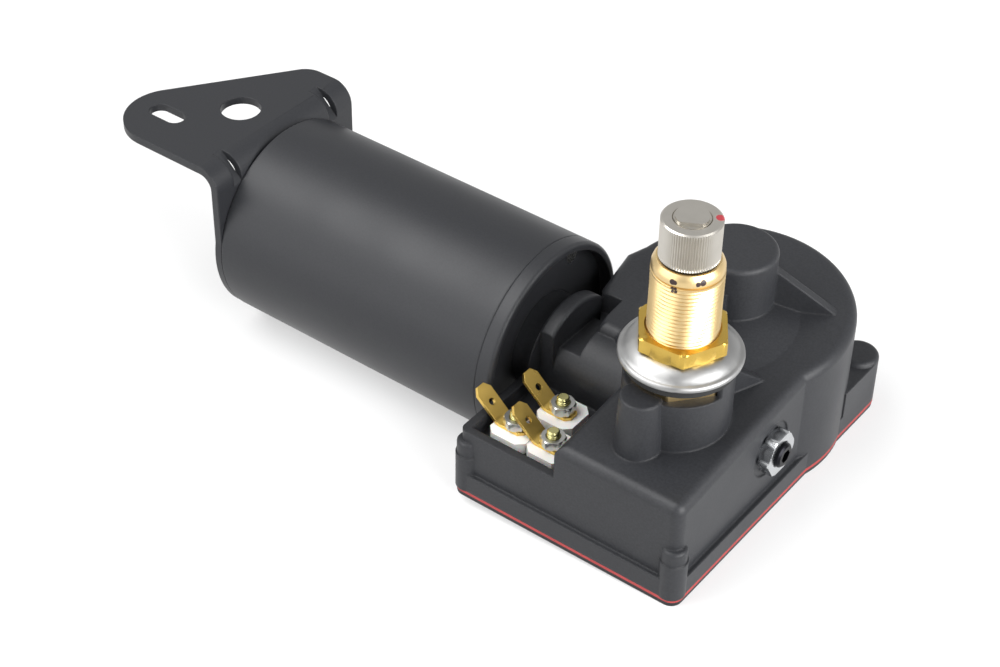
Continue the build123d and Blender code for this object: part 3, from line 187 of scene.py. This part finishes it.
# ---- Armature, magnets and brush gear ----
# Varnished steel laminations carry enamelled copper coils; carbon brushes press on a copper commutator.
# Two dark ferrite arcs line the can, and sintered bronze bushes carry the shaft.
copper = plated("enamelled_copper", ("#9c4a22", "#b25a2c"), dull=0.35, grain_mm=0.5, grain_depth_mm=0.05)
ferrite = moulded("ferrite", ("#26262a", "#303034"), dull=0.6, grain_mm=0.5, grain_depth_mm=0.02)
laminations = plated(
    "varnished_laminations", ("#4c4c4e", "#5c5c5e"),
    dull=0.45, grain_mm=0.5, grain_depth_mm=0.05, stretch=(8, 0.2, 0.2))
carbon = moulded("carbon_graphite", ("#18181a", "#222224"), dull=0.55, grain_mm=0.3, grain_depth_mm=0.02)
bronze = plated("sintered_bronze", ("#8a5a34", "#9c6a40"), dull=0.42, grain_mm=0.3, grain_depth_mm=0.02)
dress(copper, "armature_windings", "commutator_segments")
dress(ferrite, "field_magnets")
dress(laminations, "armature_core")
dress(carbon, "carbon_brushes")
dress(bronze, "front_bush", "rear_bush", "tail_bush")
dress(ground_steel, "brush_springs", "brush_holder_caps")

# ---- Can, end caps and rear bracket ----
# The can is drawn steel tube with a cap pressed into each end, and the bracket is folded from 2 mm sheet.
# All are painted satin black, smoother than the casting.
can_paint = powder_coat(
    "satin_paint_on_steel", ("#252629", "#2a2b2e"),
    dull=0.46, shine=0.38, peel_mm=0.45, peel_depth_mm=0.012, edge_mm=0.5)
dress(can_paint, "motor_can", "front_end_cap", "rear_end_cap", "mounting_bracket")
dress(zinc, "through_bolts")

# ---- Terminal insulators, studs and nuts ----
# Each terminal is a threaded stud through a white nylon block, with a brass spade held under a plated nut.
# The studs carry a yellow zinc plate.
terminal_places = ((-27.2, -4.3), (-32.5, -14.9), (-22.2, -14.9))
insulator_top = -27.0
spade_thickness = 0.8
nut_height = 2.4
nut_flats = 5.5
nut_chamfer = 0.25
nut_lead_in = 0.3
stud_radius = 1.5
stud_top = -22.2
stud_bottom = -32.5
stud_pitch = 0.5
stud_thread_depth = 0.24
stud_chamfer = 0.35
stud_head_radius = 2.5
stud_head_height = 1.8
white_nylon = moulded(
    "white_nylon", ("#eceae6", "#f6f4f0"), dull=0.38, grain_mm=0.8, grain_depth_mm=0.01, soft=0.2)
yellow_zinc = plated(
    "yellow_zinc_plate", ("#b9b37a", "#cfc98f"), dull=0.25, grain_mm=0.3, grain_depth_mm=0.01)
dress(white_nylon, "terminal_insulators")


on_outline = 0.01  # millimetres within which a profile's point counts as on the outline


def hexagon(across_flats, turn):
    """Radius of a hexagon at each angle, cut off at its corners by the profile's own radius."""
    def radius_at(radius, height, angle):
        if radius < across_flats / 2 - on_outline:
            return radius
        off = (degrees(angle) - turn) % 60 - 30
        return min(across_flats / 2 / cos(radians(off)), radius)
    return radius_at


weld = 1e-7  # metres within which two points are one


def crease(shape, least):
    """Shades a shape smooth, except at edges that turn by more than the least angle."""
    for edge in shape.edges:
        edge.smooth = len(edge.link_faces) < 2 or edge.calc_face_angle(0) < least
    for face in shape.faces:
        face.smooth = True


def turned(name, profile, steps, radius_at=None, along="Z", place=(0, 0, 0)):
    """A mesh object turned about an axis from a closed profile of (radius, height) points in mm.

    The profile is listed upwards on its outside. radius_at changes the radius at an angle, as flats, teeth
    and threads do.
    """
    mesh = bpy.data.meshes.new(name)
    points, faces = [], []
    for radius, height in profile:
        for step in range(steps):
            angle = 2 * pi * step / steps
            reach = radius_at(radius, height, angle) if radius_at else radius
            a, b = reach * cos(angle), reach * sin(angle)
            point = (a, b, height) if along == "Z" else (height, a, b)
            points.append([(p + q) / 1000 for p, q in zip(point, place)])
    rows = len(profile)
    for row in range(rows):
        this, above = row * steps, (row + 1) % rows * steps
        for step in range(steps):
            after = (step + 1) % steps
            faces.append((this + step, this + after, above + after, above + step))
    mesh.from_pydata(points, [], faces)
    shape = bmesh.new()
    shape.from_mesh(mesh)
    bmesh.ops.remove_doubles(shape, verts=shape.verts, dist=weld)
    crease(shape, radians(32))
    shape.to_mesh(mesh)
    shape.free()
    made = bpy.data.objects.new(name, mesh)
    bpy.context.collection.objects.link(made)
    return made


def copies_at(template, name, places, material):
    """One mesh with a copy of the template at each place, set out by Geometry Nodes."""
    points = bpy.data.meshes.new(name + "_places")
    points.from_pydata([(x / 1000, y / 1000, z / 1000) for x, y, z in places], [], [])
    holder = bpy.data.objects.new(name, points)
    bpy.context.collection.objects.link(holder)
    tree = bpy.data.node_groups.new(name + "_layout", "GeometryNodeTree")
    tree.interface.new_socket("Places", in_out="INPUT", socket_type="NodeSocketGeometry")
    tree.interface.new_socket("Piece", in_out="INPUT", socket_type="NodeSocketObject")
    tree.interface.new_socket("Copies", in_out="OUTPUT", socket_type="NodeSocketGeometry")
    given = add_node(tree, "NodeGroupInput")
    piece = add_node(tree, "GeometryNodeObjectInfo", {"Object": given.outputs["Piece"]})
    spots = add_node(tree, "GeometryNodeMeshToPoints", {"Mesh": given.outputs["Places"]})
    laid = add_node(tree, "GeometryNodeInstanceOnPoints", {
        "Points": spots.outputs[0], "Instance": piece.outputs["Geometry"]})
    real = add_node(tree, "GeometryNodeRealizeInstances", {"Geometry": laid.outputs[0]})
    faced = add_node(tree, "GeometryNodeSetMaterial", {"Geometry": real.outputs[0], "Material": material})
    add_node(tree, "NodeGroupOutput", {"Copies": faced.outputs[0]})
    modifier = holder.modifiers.new("layout", "NODES")
    modifier.node_group = tree
    socket = next(item.identifier for item in tree.interface.items_tree if item.name == "Piece")
    modifier[socket] = template
    bpy.context.view_layer.update()
    done = bpy.data.meshes.new_from_object(holder.evaluated_get(bpy.context.evaluated_depsgraph_get()))
    holder.modifiers.remove(modifier)
    holder.data = done
    bpy.data.objects.remove(template)
    return holder


def place_on(piece, material, body, slot, *replaced):
    """Gives a new piece its finish and its body, and hides the CAD nodes it stands for. Its slot is not used.
    """
    piece.data.materials.clear()
    piece.data.materials.append(material)
    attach(piece, body)
    if replaced:
        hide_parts(*replaced)


nut_bottom = insulator_top + spade_thickness
terminal_nut_corner = nut_flats / sqrt(3) - 0.05
one_nut = turned("one_nut", [
    (stud_radius, nut_bottom), (nut_flats / 2, nut_bottom), (terminal_nut_corner, nut_bottom + nut_chamfer),
    (terminal_nut_corner, nut_bottom + nut_height - nut_chamfer), (nut_flats / 2, nut_bottom + nut_height),
    (stud_radius + nut_lead_in, nut_bottom + nut_height),
    (stud_radius, nut_bottom + nut_height - nut_lead_in)],
    steps=72, radius_at=hexagon(nut_flats, turn=30))
terminal_nuts = copies_at(one_nut, "terminal_nuts_plated", [(x, y, 0) for x, y in terminal_places], zinc)
place_on(terminal_nuts, zinc, "housing", "zinc_steel", "terminal_nuts")


def thread(pitch, depth, low, high):
    """Radius of a V thread between two heights. It fades in and out over a little more than half a turn."""
    run_out = 0.6 * pitch

    def radius_at(radius, height, angle):
        if not low < height < high:
            return radius
        phase = (height / pitch - angle / (2 * pi)) % 1.0
        fade = min(1.0, (height - low) / run_out, (high - height) / run_out)
        return radius - depth * fade * abs(2 * phase - 1.0)
    return radius_at


stud_thread_top = stud_top - 0.3
stud_row_count = int((stud_thread_top - nut_bottom) / (stud_pitch / 8))
stud_rows = [(stud_radius, nut_bottom + (stud_top - stud_chamfer - nut_bottom) * i / stud_row_count)
             for i in range(stud_row_count + 1)]
one_stud = turned("one_stud", [
    (0.0, stud_bottom - stud_head_height), (stud_head_radius, stud_bottom - stud_head_height),
    (stud_head_radius, stud_bottom), (stud_radius, stud_bottom)]
    + stud_rows + [(stud_radius - stud_chamfer, stud_top), (0.0, stud_top)],
    steps=40, radius_at=thread(stud_pitch, stud_thread_depth, nut_bottom + nut_height, stud_thread_top))
terminal_studs = copies_at(
    one_stud, "terminal_studs_threaded", [(x, y, 0) for x, y in terminal_places], yellow_zinc)
place_on(terminal_studs, yellow_zinc, "housing", "zinc_steel", "terminal_studs")

# ---- Spade terminals ----
# Each is stamped from 0.8 mm brass with an eye for the stud. Its blade is bent up for a push-on connector,
# and has chamfered tip corners and a small latch hole.
spade_width = 4.8
spade_eye = 3.2
spade_bend = -3.6
spade_angle = radians(42)
spade_length = 9.4
eye_corner = 1.2
tip_along, tip_across = 1.6, 1.3
latch_from_tip = 4.6
latch_radius = 0.85
bend_length = 2.0
bend_steps = 8
stamped_brass = plated(
    "stamped_brass", ("#d8b45c", "#e6c670"), dull=0.34, grain_mm=0.5, grain_depth_mm=0.01, edge_mm=0.12)

flat_shape = bpy.data.curves.new("spade_flat", "CURVE")
flat_shape.dimensions = "2D"
flat_shape.fill_mode = "BOTH"
flat_shape.extrude = spade_thickness / 2000
half = spade_width / 2
tip = spade_bend - spade_length
outline = [
    (spade_eye - eye_corner, -half), (spade_eye, -half + eye_corner), (spade_eye, half - eye_corner),
    (spade_eye - eye_corner, half), (tip + tip_along, half), (tip, half - tip_across),
    (tip, -half + tip_across), (tip + tip_along, -half)]
eye = [(stud_radius * cos(radians(a)), stud_radius * sin(radians(a))) for a in range(0, 360, 12)]
latch = [(tip + latch_from_tip + latch_radius * cos(radians(a)), latch_radius * sin(radians(a)))
         for a in range(0, 360, 20)]
for loop in (outline, eye, latch):
    spline = flat_shape.splines.new("POLY")
    spline.points.add(len(loop) - 1)
    for point, (x, y) in zip(spline.points, loop):
        point.co = (x / 1000, y / 1000, 0, 1)
    spline.use_cyclic_u = True
flat = bpy.data.objects.new("spade_flat", flat_shape)
bpy.context.collection.objects.link(flat)
bpy.context.view_layer.update()
spade_mesh = bpy.data.meshes.new_from_object(flat.evaluated_get(bpy.context.evaluated_depsgraph_get()))
bpy.data.objects.remove(flat)
shape = bmesh.new()
shape.from_mesh(spade_mesh)
bmesh.ops.remove_doubles(shape, verts=shape.verts, dist=weld)
for i in range(bend_steps + 1):
    cut = (spade_bend + bend_length / 2 - bend_length * i / bend_steps) / 1000
    bmesh.ops.bisect_plane(shape, geom=shape.verts[:] + shape.edges[:] + shape.faces[:], plane_co=(cut, 0, 0),
                           plane_no=(1, 0, 0), dist=weld)
bend_radius = bend_length / spade_angle
bend_start = spade_bend + bend_length / 2
for vertex in shape.verts:
    along, lift = bend_start - vertex.co.x * 1000, vertex.co.z * 1000
    if along <= 0:
        continue
    angle = min(along / bend_radius, spade_angle)
    beyond = max(0.0, along - bend_length)
    x = bend_start - (bend_radius - lift) * sin(angle) - beyond * cos(spade_angle)
    z = bend_radius - (bend_radius - lift) * cos(angle) + beyond * sin(spade_angle)
    vertex.co.x, vertex.co.z = x / 1000, z / 1000
bmesh.ops.recalc_face_normals(shape, faces=shape.faces)
crease(shape, radians(25))
shape.to_mesh(spade_mesh)
shape.free()
one_spade = bpy.data.objects.new("one_spade", spade_mesh)
bpy.context.collection.objects.link(one_spade)
spades = copies_at(one_spade, "spade_terminals_bent",
                   [(x, y, insulator_top + spade_thickness / 2) for x, y in terminal_places], stamped_brass)
place_on(spades, stamped_brass, "housing", "brass", "spade_terminals")

# ---- Pivot bushing ----
# Turned and threaded brass: a hexagon stands on the case's boss, and above it a fine thread takes the nut.
# Its top is a plain collar with a groove under it. Small dabs of dark inspection paint sit on the collar, at
# the groove and on the last turn of the thread.
bushing_radius = 8.0
hexagon_flats = 19.0
hexagon_bottom = -3.0
corner_cut = 0.15
shank_radius = 7.0
shank_bottom = -30.4
bore_radius = 4.8
mouth_radius, mouth_depth = 6.2, 1.6
thread_pitch = 1.0
thread_depth = 0.42
thread_start, thread_end = 0.02, 25.2
thread_row_count = 200
groove_height = 25.7
groove_depth = 0.5
collar_top = 28.4


def turned_metal(name, colour, dull, dabs=()):
    """Turned metal: an even sheen with fine tool rings, and ragged dabs of paint where there are any."""
    ring_mm, ring_depth_mm = 1.6, 0.01
    cloud_mm = 3.5
    material, tree, place, surface = new_finish(name)
    rings = add_node(tree, "ShaderNodeMapping", {"Vector": place, "Scale": (0.4, 0.4, 14)})
    marks = add_node(tree, "ShaderNodeTexNoise", {
        "Vector": rings.outputs["Vector"], "Scale": 1000 / ring_mm, "Detail": 2.0})
    cloud = add_node(tree, "ShaderNodeTexNoise", {"Vector": place, "Scale": 1000 / cloud_mm, "Detail": 3.0})
    tone = add_node(tree, "ShaderNodeMix", {
        0: cloud.outputs["Fac"], 6: linear(colour[0]), 7: linear(colour[1])}, data_type="RGBA").outputs[2]
    metal = 1.0
    for centre, radius, paint in dabs:
        away = add_node(tree, "ShaderNodeVectorMath", {
            0: place, 1: [c / 1000 for c in centre]}, operation="DISTANCE")
        edge = add_node(tree, "ShaderNodeMath", {
            0: cloud.outputs["Fac"], 1: radius / 2500}, operation="MULTIPLY")
        inside = add_node(tree, "ShaderNodeMath", {
            0: away.outputs["Value"], 1: edge.outputs[0]}, operation="ADD")
        covered = add_node(tree, "ShaderNodeMapRange", {
            "Value": inside.outputs[0], "From Min": radius * 1.05 / 1000, "From Max": radius * 1.2 / 1000,
            "To Min": 1.0, "To Max": 0.0})
        tone = add_node(tree, "ShaderNodeMix", {
            0: covered.outputs["Result"], 6: tone, 7: linear(paint)}, data_type="RGBA").outputs[2]
        bare = add_node(tree, "ShaderNodeMath", {0: 1.0, 1: covered.outputs["Result"]}, operation="SUBTRACT")
        if metal == 1.0:
            metal = bare.outputs[0]
        else:
            both_bare = add_node(tree, "ShaderNodeMath", {0: metal, 1: bare.outputs[0]}, operation="MULTIPLY")
            metal = both_bare.outputs[0]
    bump = add_node(tree, "ShaderNodeBump", {
        "Strength": 0.25, "Distance": ring_depth_mm / 1000, "Height": marks.outputs["Fac"]})
    shader = add_node(tree, "ShaderNodeBsdfPrincipled", {
        "Base Color": tone, "Metallic": metal, "Roughness": dull, "Normal": bump.outputs["Normal"]})
    tree.links.new(shader.outputs[0], surface)
    return material


dark_paint = "#2a1512"
dab_places = [((x, y, z), size, dark_paint) for x, y, z, size in (
    (1.1, -7.6, 26.8, 0.75), (1.6, -7.5, 26.8, 0.6), (5.6, -5.0, 26.8, 0.7), (6.3, -4.2, 27.0, 0.8),
    (1.2, -7.9, 25.4, 0.42), (1.9, -7.8, 25.4, 0.42), (1.3, -7.9, 24.6, 0.42), (2.0, -7.7, 24.6, 0.42))]
brass = turned_metal("turned_brass", ("#dcc088", "#e8ce9c"), dull=0.34, dabs=dab_places)
thread_rows = [(bushing_radius, thread_start + (thread_end - thread_start) * i / thread_row_count)
               for i in range(thread_row_count + 1)]
hexagon_corner = hexagon_flats / sqrt(3)
hexagon_shape = hexagon(hexagon_flats, turn=-10)
thread_shape = thread(thread_pitch, thread_depth, 0.0, thread_end)


def bushing_shape(radius, height, angle):
    """Flats on what stands out past the thread, and the thread on the rest."""
    shape_at = hexagon_shape if radius > hexagon_flats / 2 - 0.1 else thread_shape
    return shape_at(radius, height, angle)


bushing = turned("pivot_bushing_threaded", [
    (shank_radius, shank_bottom), (shank_radius, hexagon_bottom),
    (hexagon_corner - corner_cut, hexagon_bottom), (hexagon_corner - corner_cut, 0.0)]
    + thread_rows + [
    (bushing_radius, groove_height - 0.3), (bushing_radius - groove_depth, groove_height - 0.1),
    (bushing_radius - groove_depth, groove_height + 0.1), (bushing_radius - 0.05, groove_height + 0.3),
    (bushing_radius - 0.1, collar_top - 1.5), (bushing_radius - 0.35, collar_top - 0.8),
    (bushing_radius - 1.0, collar_top), (mouth_radius, collar_top), (mouth_radius, collar_top - mouth_depth),
    (bore_radius, collar_top - mouth_depth), (bore_radius, shank_bottom)],
    steps=120, radius_at=bushing_shape)
place_on(bushing, brass, "housing", "brass", "pivot_bushing")

# ---- Rubber washer, domed washer and nut that grip the panel ----
# The rubber seals the panel, and the domed stainless washer spreads the brass nut's load to its rim.
rubber = moulded("black_rubber", ("#151515", "#1c1c1c"), dull=0.75, grain_mm=0.5, grain_depth_mm=0.02)
dress(rubber, "rubber_washer", "shaft_seal")
stainless = plated(
    "satin_stainless", ("#9e9e9e", "#a9a9a8"), dull=0.4, grain_mm=0.8, grain_depth_mm=0.01, edge_mm=0.2)
dome = [
    (8.1, 4.8), (10.2, 4.75), (11.6, 4.0), (12.5, 2.6), (12.9, 2.2), (13.5, 2.2), (13.85, 2.45),
    (13.95, 2.85), (13.9, 3.2), (13.7, 3.5), (13.4, 3.65), (13.1, 3.7), (12.8, 3.85), (12.3, 4.4),
    (11.7, 4.95), (11.1, 5.4), (10.5, 5.75), (9.9, 5.95), (9.5, 6.0), (8.1, 6.0)]
dome_washer = turned("dome_washer_spun", dome, steps=128)
place_on(dome_washer, stainless, "housing", "bright_steel", "dome_washer")

nut_low, nut_high = 6.0, 10.0
foot_chamfer, face_chamfer, face_land = 0.5, 0.3, 0.8
panel_nut_lead_in = 0.35
nut_brass = turned_metal("milled_brass", ("#c8a44c", "#d8b85e"), dull=0.27)
nut_face = hexagon_flats / 2
nut_corner = hexagon_corner - 0.05
panel_nut = turned("mounting_nut_chamfered", [
    (bushing_radius, nut_low), (nut_face, nut_low), (nut_corner, nut_low + foot_chamfer),
    (nut_corner, nut_high - face_chamfer), (nut_face + face_land, nut_high),
    (bushing_radius + panel_nut_lead_in, nut_high), (bushing_radius, nut_high - panel_nut_lead_in)],
    steps=144, radius_at=hexagon(hexagon_flats, turn=4))
place_on(panel_nut, nut_brass, "housing", "brass", "mounting_nut")

# ---- Knurled driver ----
# A nickel-plated sleeve pressed on the output shaft; its straight teeth bite into the wiper arm's head.
# A dab of red paint on its rim marks how the arm is set.
driver_low, driver_high = 28.7, 38.4
driver_radius = 6.64
driver_edge = 0.3
driver_row_count = 20
tooth_count = 72
tooth_depth = 0.36
low_run_out, high_run_out = 0.3, 0.25
tip_radius = 4.0
tip_groove, tip_groove_depth = 0.25, 0.3
red_mark = ((4.6, 3.5, 38.3), 1.1, "#a03038")


def knurl(radius, height, angle):
    """Straight V teeth that run out at the sleeve's two ends."""
    if radius < driver_radius - on_outline:
        return radius
    fade = min(1.0, max(0.0, height - driver_low - driver_edge) / low_run_out,
               max(0.0, driver_high - driver_edge - height) / high_run_out)
    phase = (angle * tooth_count / (2 * pi)) % 1.0
    return radius - tooth_depth * fade * abs(2 * phase - 1)


knurl_length = driver_high - driver_low - 2 * driver_edge
driver_rows = [(driver_radius, driver_low + driver_edge + knurl_length * i / driver_row_count)
               for i in range(driver_row_count + 1)]
driver = turned("knurled_driver_cut", [
    (tip_radius, driver_low), (driver_radius - driver_edge, driver_low)] + driver_rows + [
    (driver_radius - tooth_depth, driver_high), (tip_radius + tip_groove, driver_high),
    (tip_radius, driver_high - tip_groove_depth)],
    steps=tooth_count * 8, radius_at=knurl)
nickel = turned_metal("nickel_plate", ("#c0bcb4", "#cecac2"), dull=0.3, dabs=(red_mark,))
place_on(driver, nickel, "output", "nickel", "knurled_driver")
dress(nickel, "output_shaft")

# ---- End-play screw and its jam nut ----
# The screw presses a pad against the worm shaft's end, and the nut locks it.
# The screw is black-oxide steel with a hexagon socket, the nut bright zinc plate.
black_oxide = plated(
    "black_oxide_steel", ("#1c1c1e", "#26262a"), dull=0.36, grain_mm=0.3, grain_depth_mm=0.01)
dress(black_oxide, "end_play_screw")
motor_axis = (0, 13.1, -25.5)
screw_radius = 3.0
jam_low, jam_high = 17.3, 20.5
jam_flats = 10.0
jam_foot_chamfer, jam_face_chamfer, jam_face_land = 0.4, 0.3, 0.3
jam_lead_in = 0.4
jam_corner = jam_flats / sqrt(3) - 0.1
jam_nut = turned("jam_nut_chamfered", [
    (screw_radius, jam_low), (jam_flats / 2, jam_low), (jam_corner, jam_low + jam_foot_chamfer),
    (jam_corner, jam_high - jam_face_chamfer), (jam_flats / 2 + jam_face_land, jam_high),
    (screw_radius + jam_lead_in, jam_high), (screw_radius, jam_high - jam_lead_in)],
    steps=144, radius_at=hexagon(jam_flats, turn=0), along="X", place=motor_axis)
bright_zinc = plated(
    "bright_zinc_plate", ("#c3c5c7", "#d6d8da"), dull=0.22, grain_mm=0.5, grain_depth_mm=0.01)
place_on(jam_nut, bright_zinc, "housing", "zinc_steel", "jam_nut")

# ---- Floor, lights and camera ----
# The motor lies on its cover's edge and the rear of its can, so the floor is tipped about 2.4 degrees to it.
# The paper and sky look brighter to the camera and in reflections than they shine, so that they stay white.
front_rest = Vector((0.0186, 0, -0.0450))
rear_rest = Vector((-0.1255, 0, -0.0510))
slope = atan2(front_rest.z - rear_rest.z, front_rest.x - rear_rest.x)
level = Matrix.Rotation(-slope, 4, "Y")
floor_reach = 6
floor_corners = ((-1, -1), (1, -1), (1, 1), (-1, 1))
floor_mesh = bpy.data.meshes.new("floor")
floor_mesh.from_pydata(
    [level @ Vector((x * floor_reach, y * floor_reach, 0)) + rear_rest for x, y in floor_corners],
    [], [(0, 1, 2, 3)])
floor = bpy.data.objects.new("floor", floor_mesh)
bpy.context.collection.objects.link(floor)
material, tree, place, surface = new_finish("white_studio_paper")
seen_share, mirrored_share = 0.5, 0.8
rays = add_node(tree, "ShaderNodeLightPath")
seen = add_node(tree, "ShaderNodeMath", {
    0: rays.outputs["Is Camera Ray"], 1: seen_share}, operation="MULTIPLY")
mirrored = add_node(tree, "ShaderNodeMath", {
    0: rays.outputs["Is Glossy Ray"], 1: mirrored_share}, operation="MULTIPLY")
share = add_node(tree, "ShaderNodeMath", {0: seen.outputs[0], 1: mirrored.outputs[0]}, operation="MAXIMUM")
paper = add_node(tree, "ShaderNodeBsdfDiffuse", {"Color": linear("#f4f4f4")})
white = add_node(tree, "ShaderNodeEmission", {"Color": (1, 1, 1, 1), "Strength": 1.0})
both = add_node(tree, "ShaderNodeMixShader", {0: share.outputs[0], 1: paper.outputs[0], 2: white.outputs[0]})
tree.links.new(both.outputs[0], surface)
floor.data.materials.append(material)

sky_light, sky_mirrored = 0.28, 0.62
world = bpy.data.worlds.new("studio")
world.use_nodes = True
sky_tree = world.node_tree
background = sky_tree.nodes["Background"]
background.inputs["Color"].default_value = (1, 1, 1, 1)
sky_rays = add_node(sky_tree, "ShaderNodeLightPath")
sky = add_node(sky_tree, "ShaderNodeMapRange", {
    "Value": sky_rays.outputs["Is Glossy Ray"], "To Min": sky_light, "To Max": sky_mirrored})
backdrop = add_node(sky_tree, "ShaderNodeMath", {
    0: sky.outputs["Result"], 1: sky_rays.outputs["Is Camera Ray"]}, operation="MAXIMUM")
sky_tree.links.new(backdrop.outputs[0], background.inputs["Strength"])
bpy.context.scene.world = world
for name, spot, aim, size, power in (
        ("softbox_above", (-0.45, -0.3, 0.85), (-0.05, 0, 0), 0.7, 8.0),
        ("softbox_left", (-0.6, -0.95, 0.4), (-0.03, 0, 0), 1.3, 8.5),
        ("softbox_right", (0.9, -0.1, 0.3), (0, 0, 0), 1.0, 24.0)):
    lamp = bpy.data.lights.new(name, "AREA")
    lamp.shape = "SQUARE"
    lamp.size = size
    lamp.energy = power
    holder = bpy.data.objects.new(name, lamp)
    holder.location = spot
    holder.rotation_euler = (Vector(aim) - Vector(spot)).to_track_quat("-Z", "Y").to_euler()
    bpy.context.collection.objects.link(holder)

yaw, pitch, roll = radians(126.6117), radians(39.5279), radians(1.0879)
viewpoint = (0.18541, -0.31508, 0.30645)
focal_pixels, frame_pixels = 2196.4, 1000
ahead = Vector((cos(yaw) * cos(pitch), sin(yaw) * cos(pitch), -sin(pitch)))
level_right = Vector((sin(yaw), -cos(yaw), 0))
level_up = level_right.cross(ahead)
right = cos(roll) * level_right + sin(roll) * level_up
upward = -sin(roll) * level_right + cos(roll) * level_up
view = bpy.data.cameras.new("view")
view.sensor_width = 36.0
view.lens = view.sensor_width * focal_pixels / frame_pixels
view.clip_start = 0.01
camera = bpy.data.objects.new("view", view)
camera.matrix_world = Matrix((
    (right.x, upward.x, -ahead.x, viewpoint[0]), (right.y, upward.y, -ahead.y, viewpoint[1]),
    (right.z, upward.z, -ahead.z, viewpoint[2]), (0, 0, 0, 1)))
bpy.context.collection.objects.link(camera)
bpy.context.scene.camera = camera
bpy.context.scene.view_settings.view_transform = "Standard"
